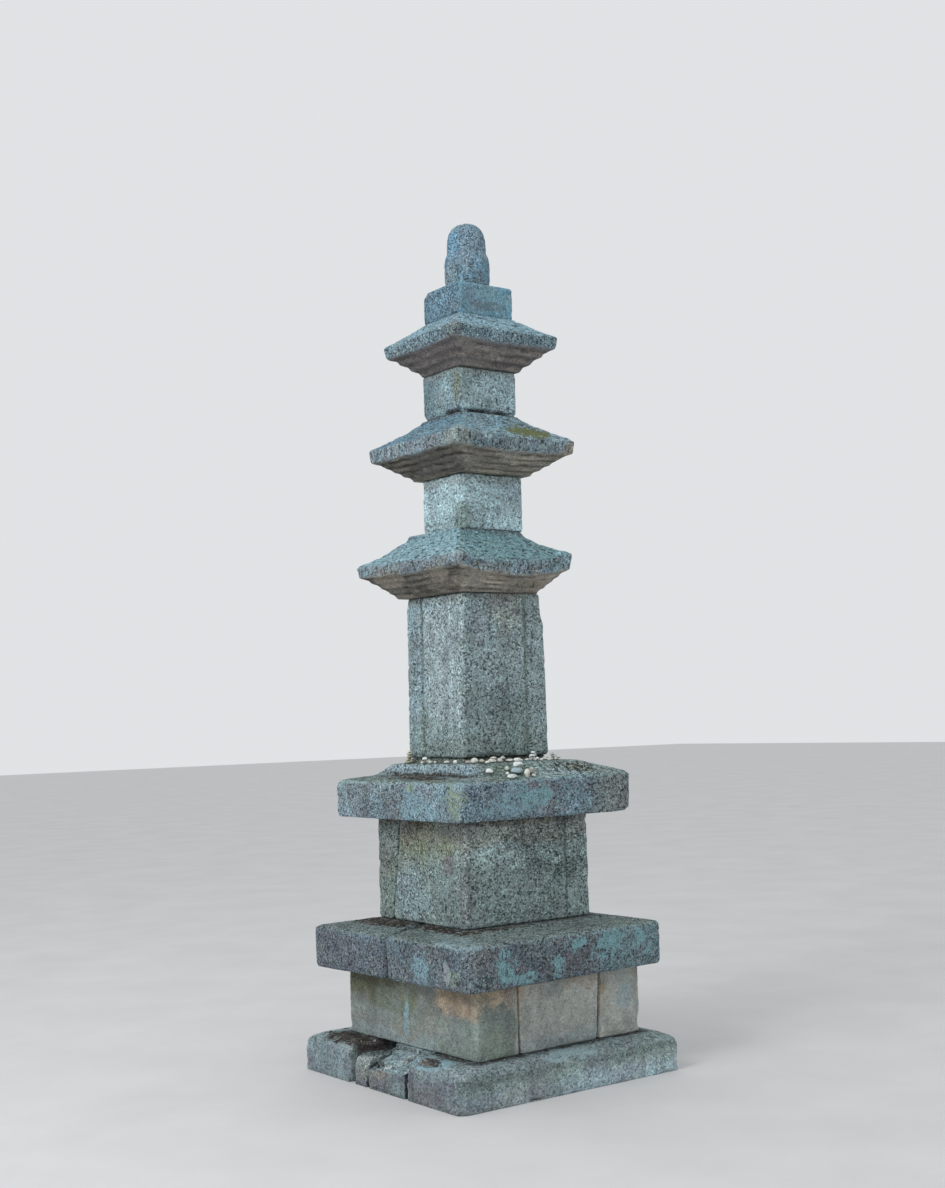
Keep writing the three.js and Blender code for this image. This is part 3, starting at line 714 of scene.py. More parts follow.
def paint_spalled(s):
    paint_ground(s)
    layer = shards(s)
    s.wash((0.24, 0.235, 0.205), 0.6 * s.blob((-0.71, -0.02, 0.10), (0.08, 0.075, 0.045)))
    s.wash((0.27, 0.37, 0.40), 0.75 * s.facing(UP, 0.4, 0.8))
    rim = ease(np.abs(off_the_crack(s) - 0.024), 0.016, 0.006) * s.facing(UP, 0.2, 0.5)
    s.wash((0.40, 0.47, 0.49), 0.9 * rim)
    # painted shade in the crack, under the edge of each flaked layer and in the recess by the sliver
    s.shade(0.18, cracked(s))
    s.shade(0.22, ease(np.abs(layer - np.round(layer)), 0.04, 0.25))
    s.shade(0.30, ease(s.co[:, Y], 0.075, 0.10) * s.facing(UP, 0.1, 0.4))
    painted_end_joint_shade(s)


def paint_sliver(s):
    paint_ground(s)
    s.wash((0.25, 0.27, 0.235), 0.5 * s.facing(LEFT, 0.0, 0.4) * s.band(Z, 0.03, 0.17, 0.01, 0.05))
    s.wash((0.36, 0.42, 0.42), 0.8 * s.band(Z, 0.138, 0.148, 0.004, 0.05, soft=0.006))
    s.wash((0.44, 0.51, 0.52), 0.9 * s.arris * s.band(Z, 0.10, 0.20))
    # painted shadow on the sliver's top
    s.shade(0.30, s.facing(UP, 0.5, 0.85) * s.band(Z, 0.146, 0.30, 0.004))
    painted_end_joint_shade(s)


dress("ground_course_front", GROUND, paint_ground_front, 0.0095, 0.2, 0.9, 11, carve_ground_front)
dress("ground_course_back", GROUND, paint_ground_back, 0.0105, 0.2, 0.9, 23)
dress("ground_course_left_sliver", GROUND, paint_sliver, 0.007, 0.1, 0.8, 31)
dress("ground_course_left_spalled", GROUND, paint_spalled, 0.0065, 0.1, 0.9, 37, carve_spalled)
dress("ground_course_right", GROUND, paint_ground, 0.0095, 0.2, 0.9, 41)

# The lower platform


SLAB_GREY = (0.245, 0.265, 0.24)
PALE_SLAB_GREY = (0.40, 0.42, 0.395)
WARM_SLAB_GREY = (0.38, 0.40, 0.37)
ARCH = (-0.385, -0.59, 0.320)  # the middle of the green arch


def paint_lower_body(s):
    s.wash(SLAB_GREY)
    s.wash(OLIVE, 0.55 * s.patches(0.28, 0.4, 4) * s.band(Z, 0.36, 0.60, 0.06, 0.2))
    s.wash(BLUE_GREY, 0.5 * s.band(Z, 0.15, 0.31, 0.05, 0.2))
    s.wash(TAN, 0.8 * s.band(Z, 0.46, 0.60, 0.06, 0.16) * s.patches(0.25, 0.35, 6))
    s.wash(BROWN, 0.55 * s.band(Z, 0.525, 0.60, 0.02, 0.1))
    weathered(s)
    painted_joint_shade(s)


def paint_corner_slab(s):
    """The slab whose tan stain breaks round a green arch at the near corner."""
    s.wash(SLAB_GREY)
    left = s.facing(LEFT)
    s.wash(OLIVE, 0.65 * left * s.band(Y, -0.05, 0.70, 0.08, 0.25) * s.band(Z, 0.38, 0.60, 0.06, 0.2))
    s.wash(BROWN, 0.40 * left * s.band(Y, 0.10, 0.50, 0.06, 0.2) * s.band(Z, 0.475, 0.60, 0.04, 0.15))
    # painted shade on the left face, which the lamp lights, most on its upper half
    s.shade(0.90, left)
    s.shade(0.74, left * s.band(Y, -0.30, 0.80) * s.band(Z, 0.36, 0.60, 0.05, 0.15))
    s.wash(BLUE_GREY, 0.35 * s.band(Z, 0.15, 0.26, 0.05, 0.2))
    s.encrust(CRUST_BLUE, 0.75, s.blob((-0.525, 0.0, 0.34), (0.10, 0.028, 0.085), 0.4, 0.04))
    near = ease(s.co[:, Y] + 0.03 * s.noise(0.08, 9), -0.24, -0.29)
    stain = near * s.band(Z, 0.415, 0.62, 0.035, 0.07, 10)
    drip = s.blob((-0.530, -0.585, 0.45), (0.050, 0.060, 0.060), 0.35, 0.04)
    green = np.maximum(
        s.blob(ARCH, (0.125, 0.15, 0.155), 0.20, 0.05, soft=0.1),
        s.blob((-0.52, -0.43, 0.27), (0.15, 0.17, 0.125), 0.30, 0.06, soft=0.1),
    )
    beside = s.facing(FRONT) * s.band(X, -0.285, -0.24, 0.008, 0.05) * s.band(Z, 0.37, 0.60, 0.02, 0.08)
    rim = np.clip(s.blob(ARCH, (0.150, 0.15, 0.180), 0.20, 0.05, soft=0.1) - green, 0, 1)
    rim = rim * ease(s.co[:, X], -0.50, -0.42)
    s.wash(TAN, 0.9 * np.maximum(np.maximum(stain, drip), beside))
    s.wash((0.47, 0.40, 0.31), 0.9 * rim * s.facing(FRONT))
    s.wash((0.19, 0.235, 0.205), 0.9 * green * (1 - 0.8 * drip))
    s.wash(LIGHT_TAN, 0.6 * near * s.band(Z, 0.44, 0.475, 0.03, 0.05, 12) * s.facing(LEFT))
    s.wash(BROWN, 0.5 * s.band(Z, 0.535, 0.60, 0.015, 0.1))
    weathered(s)
    painted_joint_shade(s)
    s.smooth(0.65)


def beside_joint(s, node, ragged, far, near):
    """1 by the slab's left joint, 0 further from it than far."""
    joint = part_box(node)[0].x
    return ease(s.co[:, X] + ragged * s.noise(0.06, 7), joint + far, joint + near)


def paint_front_slab(s):
    s.wash(PALE_SLAB_GREY)
    s.wash(TAN, 0.7 * s.band(Z, 0.475, 0.62, 0.035, 0.10) * s.patches(0.14, 0.6, 6))
    joint = beside_joint(s, "lower_body_front", 0.015, 0.05, 0.01)
    s.wash(TAN, 0.6 * joint * s.band(Z, 0.35, 0.6))
    s.wash(BLUE_GREY, 0.30 * s.band(Z, 0.18, 0.27, 0.02, 0.1))
    weathered(s, -0.2, 0.08)
    painted_joint_shade(s)
    s.smooth(0.5)


def paint_right_slab(s):
    s.wash(WARM_SLAB_GREY)
    s.wash(TAN, 0.8 * s.band(Z, 0.44, 0.62, 0.035, 0.10) * s.patches(0.16, 0.6, 6))
    joint = beside_joint(s, "lower_body_right", 0.02, 0.09, 0.02)
    s.wash(TAN, 0.7 * joint * s.band(Z, 0.30, 0.6))
    s.wash((0.30, 0.38, 0.40), 0.8 * s.blob((0.46, -0.57, 0.40), (0.065, 0.10, 0.055)))
    s.wash(GREEN_GREY, 0.6 * s.facing(RIGHT) + 0.6 * s.facing(BACK))
    weathered(s, -0.2, 0.10)
    painted_joint_shade(s)
    s.smooth(0.5)


dress("lower_body_left", LOWER_BODY, paint_corner_slab, 0.010, 0.2, 0.7, 51)
dress("lower_body_front", LOWER_BODY, paint_front_slab, 0.010, 0.2, 0.7, 53)
dress("lower_body_right", LOWER_BODY, paint_right_slab, 0.010, 0.3, 0.7, 57)
dress("lower_body_back", LOWER_BODY, paint_lower_body, 0.010, 0.2, 0.7, 59)

LOWER_CAP_GREY = (0.135, 0.185, 0.215)

# Lichen on the front of the lower cap, as place along X, height, and half its width and height.
LOWER_CAP_LICHEN = (
    (-0.395, 0.631, 0.0696, 0.0720),
    (-0.400, 0.720, 0.0360, 0.0312),
    (-0.262, 0.585, 0.0780, 0.0360),
    (-0.060, 0.622, 0.0384, 0.0720),
    (0.080, 0.720, 0.0780, 0.0336),
    (0.290, 0.695, 0.1140, 0.0576),
    (0.520, 0.700, 0.0384, 0.0456),
    (0.576, 0.629, 0.0240, 0.0240),
)


def paint_lower_cap(s):
    s.wash(LOWER_CAP_GREY)
    side = 1 - s.facing(UP)
    left, front = s.facing(LEFT), s.facing(FRONT)
    s.wash(PURPLE_GREY, 0.8 * s.patches(0.18, 0.5, 4) * side)
    s.wash(PURPLE_BROWN, 0.5 * s.patches(0.09, 0.4, 5) * side)
    s.wash((0.16, 0.24, 0.26), 0.7 * front * s.band(X, 0.30, 0.90, 0.06, 0.2, soft=0.12))
    s.wash((0.115, 0.165, 0.205), 0.35 * left)
    s.wash(GREEN_GREY, 0.7 * s.facing(UP))
    s.wash(ALGAE_GREEN, 0.5 * s.facing(UP) * s.patches(0.16, 0.5, 8))
    s.encrust(CRUST_TURQUOISE, 0.22, side * (1 - 0.5 * left))
    s.encrust(CRUST_TURQUOISE, 0.20, front * s.band(X, 0.15, 0.90, 0.1, 0.2, soft=0.12))
    for along, height, half_width, half_height in LOWER_CAP_LICHEN:
        size = (half_width, 0.10, half_height)
        s.encrust(CRUST_TURQUOISE, 0.62, s.blob((along, -0.68, height), size, 0.6, 0.03, soft=0.5))
    s.encrust(CRUST_BLUE, 0.6, left * s.blob((-0.64, -0.31, 0.62), (0.10, 0.075, 0.10), 0.5, 0.05))
    s.encrust((0.36, 0.40, 0.42), 0.8, left * s.blob((-0.636, -0.508, 0.640), (0.08, 0.032, 0.065)))
    s.encrust(CRUST_YELLOW, 0.45, left * s.blob((-0.633, -0.576, 0.614), (0.08, 0.035, 0.05)))
    s.encrust(CRUST_GREY, 0.7, s.blob((-0.60, -0.56, 0.795), (0.12, 0.20, 0.035), 0.4))
    s.encrust(CRUST_GREY, 0.35, s.arris * s.band(Z, 0.74, 0.82))
    weathered(s, 0.35)
    s.shade(0.84, side)
    s.shade(0.84, s.facing(UP))
    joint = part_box("lower_cap_back")[0].y
    # painted shade in the joint between the two cap stones
    s.shade(0.25, sum(s.seam(Y, joint, way, 0.005) for way in (LEFT, UP, RIGHT)))
    # painted shade round the feet of the upper body
    for foot in ("upper_body_main", "upper_body_back"):
        s.wash((0.06, 0.053, 0.046), 0.6 * s.round_foot(foot, 0.045))


dress("lower_cap_front", CAP, paint_lower_cap, 0.0102, 0.40, 1.0, 61)
dress("lower_cap_back", CAP, paint_lower_cap, 0.0102, 0.40, 1.0, 67)

# The upper platform

# How wide the corner pilasters are.
UPPER_PILASTER, FIRST_PILASTER = 0.171, 0.156


def chisel_marks(s, half_width):
    """Two short upright marks low on the left face."""
    places = [(-0.41, along, 0.907) for along in (-0.186, -0.217)]
    return s.facing(LEFT) * sum(s.blob(place, (0.05, half_width, 0.026), 0.1) for place in places)


def paint_upper_body(s):
    low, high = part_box("upper_body_main")
    left, front = s.facing(LEFT), s.facing(FRONT)
    s.wash(GREEN_GREY)
    s.wash(BLUE_GREY, 0.2 * s.patches(0.3, 0.45, 4))
    olive = s.blob((-0.41, -0.03, 1.26), (0.20, 0.28, 0.13), 0.5, 0.12, soft=0.7)
    s.wash(OLIVE, 0.70 * left * olive)
    s.wash(BLUE_GREY, 0.50 * left * s.blob((-0.41, 0.08, 0.94), (0.20, 0.20, 0.13)))
    s.wash(PURPLE_BROWN, 0.6 * left * s.blob((-0.41, -0.26, 1.12), (0.10, 0.05, 0.06)))
    s.wash(PURPLE_BROWN, 0.5 * s.blob((-0.41, -0.40, 1.02), (0.05, 0.05, 0.20)))
    s.wash(WARM_GREY, 0.6 * s.band(Z, 1.22, 1.36, 0.04, 0.12))
    s.wash(BROWN, 0.75 * s.band(Z, 1.315, 1.40, 0.02, 0.10))
    s.shade(1.55, front * s.band(Z, 1.12, 1.33, 0.04, 0.15))
    s.darken(0.5, front * s.blob((0.14, -0.40, 1.17), (0.30, 0.1, 0.16), 0.5))
    s.darken(0.4, s.facing(RIGHT) * s.patches(0.25, 0.4, 8))
    s.encrust((0.36, 0.42, 0.42), 0.45, front * s.blob((0.285, -0.40, 1.175), (0.03, 0.1, 0.05)))
    weathered(s, 0.25)
    painted_joint_shade(s)
    s.shade(0.45, s.seam(X, high.x - UPPER_PILASTER, FRONT))
    s.shade(0.45, s.seam(Y, low.y + UPPER_PILASTER, RIGHT))
    # painted shade in the carved chisel marks
    s.shade(0.40, chisel_marks(s, 0.007))


def carve_upper_body(s):
    return 0.004 * chisel_marks(s, 0.008)


def paint_upper_body_back(s):
    low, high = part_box("upper_body_back")
    s.wash(GREEN_GREY)
    s.wash(BROWN, 0.6 * s.facing(LEFT) * s.patches(0.16, 0.6, 4))
    s.wash(ALGAE_GREEN, 0.5 * s.facing(LEFT) * s.patches(0.14, 0.5, 5))
    s.wash(BLUE_GREY, 0.5 * s.facing(BACK) * s.patches(0.25, 0.5, 6))
    s.wash(BROWN, 0.75 * s.band(Z, 1.315, 1.40, 0.02, 0.10))
    weathered(s, 0.3)
    painted_joint_shade(s)
    for at in (low.x + UPPER_PILASTER, high.x - UPPER_PILASTER):
        s.shade(0.45, s.seam(X, at, BACK))


dress("upper_body_main", UPPER_BODY, paint_upper_body, 0.0100, 0.25, 0.9, 71, carve_upper_body)
dress("upper_body_back", UPPER_BODY, paint_upper_body_back, 0.0100, 0.3, 1.0, 73)


UPPER_CAP_GREY = (0.19, 0.285, 0.34)
LEDGE_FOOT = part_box("upper_cap")[0].z + 0.226


def paint_upper_cap(s):
    left, front, up = s.facing(LEFT, 0.2, 0.6), s.facing(FRONT, 0.2, 0.6), s.facing(UP)
    s.wash(UPPER_CAP_GREY)
    s.wash(PURPLE_BROWN, 0.5 * s.patches(0.16, 0.4, 4) * (1 - up))
    s.wash(PURPLE_GREY, 0.5 * s.patches(0.10, 0.4, 5))
    s.wash(WARM_GREY, 0.6 * front * s.band(X, 0.34, 0.90, 0.06, 0.2, soft=0.14))
    s.wash((0.20, 0.27, 0.265), 0.8 * up)
    s.wash(ALGAE_GREEN, 0.8 * up * s.patches(0.2, 0.5, 8))
    s.wash(ALGAE_GREEN, 0.8 * up * s.blob((-0.18, -0.46, 1.61), (0.22, 0.08, 0.05)))
    s.encrust(CRUST_BLUE, 0.75, front * s.blob((-0.22, -0.57, 1.44), (0.21, 0.10, 0.095), 0.55, 0.10))
    turquoise = s.blob((0.10, -0.57, 1.48), (0.20, 0.1, 0.075), 0.7, 0.05, soft=0.6)
    s.encrust(CRUST_TURQUOISE, 0.48, front * turquoise)
    s.encrust(CRUST_BLUE, 0.65, left * s.blob((-0.56, -0.20, 1.43), (0.10, 0.17, 0.08), 0.5, 0.09))
    yellow = s.blob((-0.55, -0.495, 1.46), (0.05, 0.085, 0.15), 0.5, 0.04, soft=0.45)
    s.encrust(CRUST_YELLOW, 0.75, yellow)
    s.encrust(CRUST_YELLOW, 0.50, left * s.blob((-0.56, -0.15, 1.535), (0.08, 0.06, 0.03), 0.4, 0.04))
    s.encrust(CRUST_YELLOW, 0.40, left * s.band(Y, 0.26, 0.62, 0.05) * s.band(Z, 1.40, 1.60))
    s.encrust((0.32, 0.46, 0.51), 0.70, s.arris * s.band(Z, 1.51, 1.60) * s.patches(0.18, 0.7, 9))
    s.encrust((0.32, 0.43, 0.45), 0.45, up * s.patches(0.15, 0.4, 10))
    side = s.facing(RIGHT) + s.facing(BACK)
    s.encrust(CRUST_BLUE, 0.5, side * s.patches(0.18, 0.4, 7))
    s.encrust(CRUST_YELLOW, 0.5, side * s.patches(0.14, 0.25, 12))
    weathered(s, 0.4)
    # painted light on the left face
    s.shade(1.20, left)
    s.shade(1.32, up * s.band(X, 0.0, 0.8, 0.05))
    ledge = s.band(X, -0.44, -0.36, 0.01) * s.band(Y, -0.44, 0.36, 0.03)
    s.wash(CRUST_GREY, 0.6 * ledge * s.band(Z, LEDGE_FOOT + 0.012, LEDGE_FOOT + 0.06, 0.006, 0.04))
    # the crevice under the ledge: litter and painted shade
    gap = s.band(Z, LEDGE_FOOT - 0.010, LEDGE_FOOT + 0.006, 0.012, 0.05, soft=0.003)
    s.wash(LEAF_DARK_AND_SHADE, 0.95 * ledge * gap)
    # painted shade round the first body's foot
    s.wash((0.10, 0.10, 0.07), 0.7 * s.round_foot("first_storey_body", 0.05))


dress("upper_cap", CAP, paint_upper_cap, 0.0100, 0.35, 1.1, 79)

# The storeys


def first_body_seams(s):
    low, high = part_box("first_storey_body")
    places = (
        (Y, high.y - FIRST_PILASTER, LEFT),
        (X, high.x - FIRST_PILASTER, FRONT),
        (Y, low.y + FIRST_PILASTER, RIGHT),
        (Y, high.y - FIRST_PILASTER, RIGHT),
        (X, low.x + FIRST_PILASTER, BACK),
        (X, high.x - FIRST_PILASTER, BACK),
    )
    return sum(s.seam(*spot, 0.009) for spot in places)


def paint_first_body(s):
    left, front = s.facing(LEFT), s.facing(FRONT)
    s.wash(BLUE_GREY)
    panel = s.band(Y, -0.30, 0.10, 0.03, 0.05) * s.band(Z, 1.75, 2.52, 0.12, 0.3)
    s.wash((0.32, 0.40, 0.42), 0.75 * left * panel)
    s.wash(PURPLE_GREY, 0.25 * front * s.band(Z, 1.9, 2.5, 0.1))
    s.wash((0.26, 0.25, 0.20), 0.7 * front * s.blob((0.0, -0.265, 2.45), (0.11, 0.1, 0.12)))
    s.wash((0.215, 0.29, 0.29), 0.65 * s.band(Z, 1.60, 1.86, 0.10, 0.3))
    s.wash(ALGAE_GREEN, 0.5 * s.band(Z, 1.60, 1.74, 0.05, 0.2))
    s.wash(GREEN_GREY, 0.55 * front)
    s.shade(0.88, front * s.band(X, -0.30, -0.19, 0.02, 0.15))
    s.shade(1.22, front * s.band(Z, 2.05, 2.60, 0.05, 0.3))
    s.wash(BROWN, 0.45 * s.band(Z, 2.485, 2.60, 0.02, 0.1))
    weathered(s, 0.15, 0.2)
    painted_joint_shade(s)
    seams = first_body_seams(s)
    s.wash(ALGAE_GREEN, 0.6 * seams)
    s.shade(0.75, seams)
    # painted shade in the pit and in the hollowed foot
    s.shade(0.25, first_body_pit(s))
    s.wash((0.05, 0.045, 0.055), 0.85 * first_body_foot(s))


def first_body_pit(s):
    return s.blob((-0.29, -0.262, 2.458), (0.02, 0.014, 0.014), 0.1)


def first_body_foot(s):
    """The front of the foot, which rain splashes have hollowed."""
    along = s.facing(FRONT) * s.band(X, -0.27, 0.18, 0.04, 0.12, 8)
    return along * s.band(Z, 1.5, 1.652, 0.014, 0.06, 9)


def carve_first_body(s):
    return 0.0045 * first_body_seams(s) + 0.010 * first_body_pit(s) + 0.012 * first_body_foot(s)


def paint_second_body(s):
    s.wash(PALE_GREY)
    s.shade(1.06)
    s.wash(ALGAE_GREEN, 0.65 * s.blob((-0.21, -0.18, 2.945), (0.075, 0.07, 0.08)))
    s.wash(WARM_GREY, 0.4 * s.band(Z, 3.13, 3.20, 0.02, 0.08))
    s.darken(0.5, s.facing(LEFT) * s.band(Z, 2.86, 2.98, 0.03))
    weathered(s, 0.05, 0.10)
    painted_joint_shade(s)
    # painted light on the front face
    s.shade(1.08, s.facing(FRONT))


def third_body_notches(s):
    """The two stretches where the foot has broken away over the roof below."""
    front = s.blob((0.00, -0.18, 3.512), (0.17, 0.05, 0.019), 0.3, 0.04)
    left = s.blob((-0.195, -0.10, 3.514), (0.05, 0.08, 0.016), 0.3, 0.04)
    return np.maximum(front, left)


# Pits on the front of the third body, as place along X, height and radius.
THIRD_BODY_PITS = ((0.101, 3.647, 0.009), (0.057, 3.592, 0.007), (0.134, 3.555, 0.009))


def third_body_pits(s):
    return sum(s.blob((x, -0.18, z), (r, 0.03, r), 0.1) for x, z, r in THIRD_BODY_PITS)


def carve_third_body(s):
    return 0.014 * third_body_notches(s) + 0.009 * third_body_pits(s)


def paint_third_body(s):
    left = s.facing(LEFT)
    s.wash(PALE_GREY)
    s.shade(0.80)
    s.wash((0.20, 0.33, 0.39), 0.45 * left)
    # painted shade on the left face, which the lamp lights
    s.shade(0.80, left)
    s.shade(1.25, left * s.blob((-0.197, -0.06, 3.64), (0.1, 0.05, 0.11)))
    s.wash(OLIVE, 0.65 * s.blob((-0.197, -0.145, 3.65), (0.05, 0.026, 0.11)))
    s.wash(WARM_GREY, 0.4 * s.band(Z, 3.72, 3.80, 0.01, 0.06))
    weathered(s, 0.1, 0.10)
    painted_joint_shade(s)
    # painted light on the front face and more painted shade on the left
    s.shade(1.08, s.facing(FRONT))
    s.shade(0.92, left)
    # painted shadow in the broken notches and the pits
    s.shade(0.12, third_body_notches(s))
    s.shade(0.20, third_body_pits(s))


dress("first_storey_body", STOREY, paint_first_body, 0.0085, 0.2, 0.8, 83, carve_first_body)
dress("second_storey_body", FINE_STOREY, paint_second_body, 0.0075, 0.35, 0.8, 89)
dress("third_storey_body", FINE_STOREY, paint_third_body, 0.0075, 0.25, 0.7, 97, carve_third_body)


SECTORS = 180  # the directions in which an eave is measured


def eave_levels(s):
    """The heights of the eave's lower and upper edge in each vertex's own direction."""
    middle = (s.co.min(axis=0) + s.co.max(axis=0)) / 2
    plan = s.co[:, :2] - middle[:2]
    reach = np.linalg.norm(plan, axis=1)
    turn = np.arctan2(plan[:, 1], plan[:, 0]) / (2 * math.pi) + 0.5
    sector = (turn * SECTORS).astype(int) % SECTORS
    outer = np.zeros(SECTORS)
    np.maximum.at(outer, sector, reach)
    rim = reach > outer[sector] - 0.03
    foot, head = np.full(SECTORS, 9.0), np.zeros(SECTORS)
    np.minimum.at(foot, sector[rim], s.co[rim, Z])
    np.maximum.at(head, sector[rim], s.co[rim, Z])
    return [sum(np.roll(level, step) for step in range(-2, 3))[sector] / 5 for level in (foot, head)]


def crevices(s):
    """1 along the level cracks that frost has opened between the steps."""
    lines = ease(1 - np.abs(fractal(s.co, (0.30, 0.30, 0.026), s.seed + 33, 3)), 0.78, 0.94)
    return lines * (0.2 + 0.8 * s.upright())


def step_places(s, foot, steps):
    """How far up its own step under the eave each vertex lies, from 0 to 1."""
    low = s.co[:, Z].min()
    height = s.co[:, Z] + 0.0035 * s.noise(0.07, 37, 2)
    return steps * (height - low) / (foot - low) % 1


def carve_roof(s):
    """Worn crevices along the steps under the eave, and shallow pits on top."""
    foot, _ = eave_levels(s)
    below = ease(s.co[:, Z], foot + 0.004, foot - 0.012)
    pits = ease(fractal(s.co, 0.05, s.seed + 35, 2), 0.45, 0.8) * (1 - below)
    return 0.006 * below * crevices(s) + 0.0035 * pits


ROOF_GREY = (0.21, 0.30, 0.345)
EAVE_GREY = (0.235, 0.225, 0.20)


def paint_roof(s, steps=4):
    """A roof stone whose eave is cut into so many steps."""
    left, front = s.facing(LEFT, 0.1, 0.4), s.facing(FRONT, 0.1, 0.4)
    foot, head = eave_levels(s)
    z = s.co[:, Z] + 0.006 * s.noise(0.06, 3)
    below = ease(z, foot + 0.012, foot - 0.004)
    above = ease(z, head - 0.020, head + 0.008)
    s.wash(ROOF_GREY)
    s.wash(WARM_GREY, 0.30 * (1 - above) * s.patches(0.14, 0.3, 5))
    s.wash(DARK_BLUE_GREY, above)
    s.wash(CRUST_BLUE, 0.4 * above * s.patches(0.14, 0.45, 7))
    s.wash(PURPLE_GREY, 0.5 * (1 - below) * s.facing(LEFT, -0.1, 0.3) * s.patches(0.12, 0.5, 6))
    s.encrust(CRUST_PALE, 0.45, (1 - below) * s.patches(0.10, 0.3, 8))
    s.encrust(CRUST_PALE, 0.35, s.arris * s.facing(UP, 0.2, 0.6))
    s.darken(0.15, 1 - below)
    weathered(s, 0.1, 0.10)
    s.wash(EAVE_GREY, below)
    s.wash(BROWN, 0.35 * below * s.patches((0.20, 0.20, 0.03), 0.4, 9))
    s.wash((0.36, 0.33, 0.27), 0.6 * below * s.patches((0.08, 0.08, 0.02), 0.35, 10))
    # painted shade under the eave
    s.shade(0.88, below)
    place_on_step = step_places(s, foot, steps)
    shadow = ease(np.abs(place_on_step - 0.72), 0.24, 0.08)
    edge = ease(np.abs(place_on_step - 0.15), 0.20, 0.05)
    s.shade(0.42, below * shadow * s.patches(0.12, 0.6, 38))
    s.shade(1.20, below * edge * s.patches(0.09, 0.6, 39))
    # painted shade in the crevices and hollows under the eave
    s.shade(0.45, below * crevices(s))
    s.shade(0.45, below * s.hollow)
    # painted shade under the eave on the left, which the lamp lights, and painted light under it on the
    # front
    s.shade(0.54, below * left)
    s.shade(1.24, below * front)
    s.smooth(0.45, below)
    s.growth[:, 0] -= 0.35 * below
    s.growth[:, 1] -= 0.35 * below


def paint_first_roof(s):
    paint_roof(s)
    under = s.facing(DOWN, 0.1, 0.4)
    s.wash((0.24, 0.22, 0.185), 0.65 * under * s.patches(0.14, 0.5, 40))
    # painted light under the eave on the front
    s.shade(1.1, under * s.facing(FRONT, 0.1, 0.4))
    # pale flakes, washed on also to lighten the shade of the hollow here
    flakes_and_painted_light = s.blob((0.15, -0.275, 2.573), (0.11, 0.09, 0.035), 0.3, soft=0.35)
    s.wash((0.30, 0.275, 0.225), 0.85 * flakes_and_painted_light)
    top = s.facing(UP, 0.3, 0.7)
    s.wash((0.13, 0.26, 0.265), 0.6 * top)
    s.wash((0.27, 0.43, 0.50), 0.6 * top * s.facing(LEFT, 0.1, 0.4))
    s.wash(WARM_GREY, 0.35 * s.blob((-0.42, -0.42, 2.70), (0.06, 0.06, 0.06)))
    # earth and painted shade round the second body's foot
    s.wash(EARTH_AND_SHADE, 0.5 * s.round_foot("second_storey_body", 0.02))


def paint_second_roof(s):
    paint_roof(s)
    top = s.facing(UP, 0.3, 0.7)
    s.wash((0.11, 0.225, 0.305), 0.7 * top * s.facing(LEFT, 0.1, 0.4))
    # painted shade on the front face
    s.shade(0.92, s.facing(FRONT))
    s.moss(0.85, top * s.blob((0.09, -0.35, 3.40), (0.16, 0.055, 0.06), 0.5, 0.04, soft=0.4))
    s.moss(0.4, top * s.blob((0.18, -0.30, 3.42), (0.14, 0.09, 0.06), 0.45, 0.06))
    broken_corner = s.blob((-0.395, -0.395, 3.335), (0.085, 0.085, 0.075), 0.25, soft=0.4)
    s.wash((0.24, 0.26, 0.23), 0.6 * broken_corner)
    s.wash(TAN, 0.6 * s.blob((0.40, -0.40, 3.29), (0.08, 0.08, 0.05), 0.25))
    s.encrust(CRUST_PALE, 0.7, s.blob((-0.19, -0.41, 3.345), (0.03, 0.05, 0.03), 0.1))
    # earth and painted shade round the third body's foot
    s.wash(EARTH_AND_SHADE, 0.5 * s.round_foot("third_storey_body", 0.02))


def paint_third_roof(s):
    paint_roof(s, 3)
    foot, _ = eave_levels(s)
    eave = ease(s.co[:, Z], foot - 0.004, foot + 0.008)
    s.wash((0.24, 0.40, 0.48), 0.45 * eave)
    s.wash(PURPLE_BROWN, 0.45 * s.facing(DOWN, 0.1, 0.5))
    s.wash(WARM_GREY, 0.35 * s.blob((-0.34, -0.34, 3.93), (0.06, 0.06, 0.07)))
    s.darken(0.35, s.upright())


dress("first_roof", ROOF, paint_first_roof, 0.0085, 0.20, 0.8, 101, carve_roof)
dress("second_roof", ROOF, paint_second_roof, 0.0085, 0.20, 0.8, 103, carve_roof)
dress("third_roof", ROOF, paint_third_roof, 0.0085, 0.20, 0.8, 107, carve_roof)


FINIAL_GREY = (0.130, 0.25, 0.345)
BLOCK_GREY = (0.155, 0.265, 0.34)


def paint_finial(s):
    s.wash(FINIAL_GREY)
    s.wash(BLUE_GREY, 0.4 * s.patches(0.1, 0.5, 4))
    s.wash(WARM_GREY, 0.25 * s.patches(0.07, 0.3, 5))
    s.darken(0.25, ease(s.co[:, X], 0.06, -0.02))
    weathered(s, 0.12, 0.08)


def paint_block(s):
    front = s.facing(FRONT)
    s.wash(BLOCK_GREY)
    s.wash((0.155, 0.34, 0.44), 0.7 * front)
    s.wash(WARM_GREY, 0.2 * front * s.patches(0.08, 0.3, 5))
    s.smooth(0.6, front)
    s.wash(BROWN, 0.4 * front * s.blob((0.02, -0.175, 4.11), (0.12, 0.05, 0.03)))
    s.darken(0.6, s.facing(LEFT))
    s.darken(0.4, s.facing(BACK))
    weathered(s, 0.0, 0.08)
    # painted shade on the left face, which the lamp lights
    s.shade(0.86, s.facing(LEFT))


dress("finial_block", FINIAL, paint_block, 0.007, 0.2, 0.7, 109)
dress("finial_bowl", FINIAL, paint_finial, 0.0065, 0.2, 0.8, 113)

for node in ("ground_course_packing", "lower_body_packing"):
    fill = frame["nodes"][node]
    fill.data.materials.clear()
    fill.data.materials.append(PACKED_EARTH)

# Votive stones


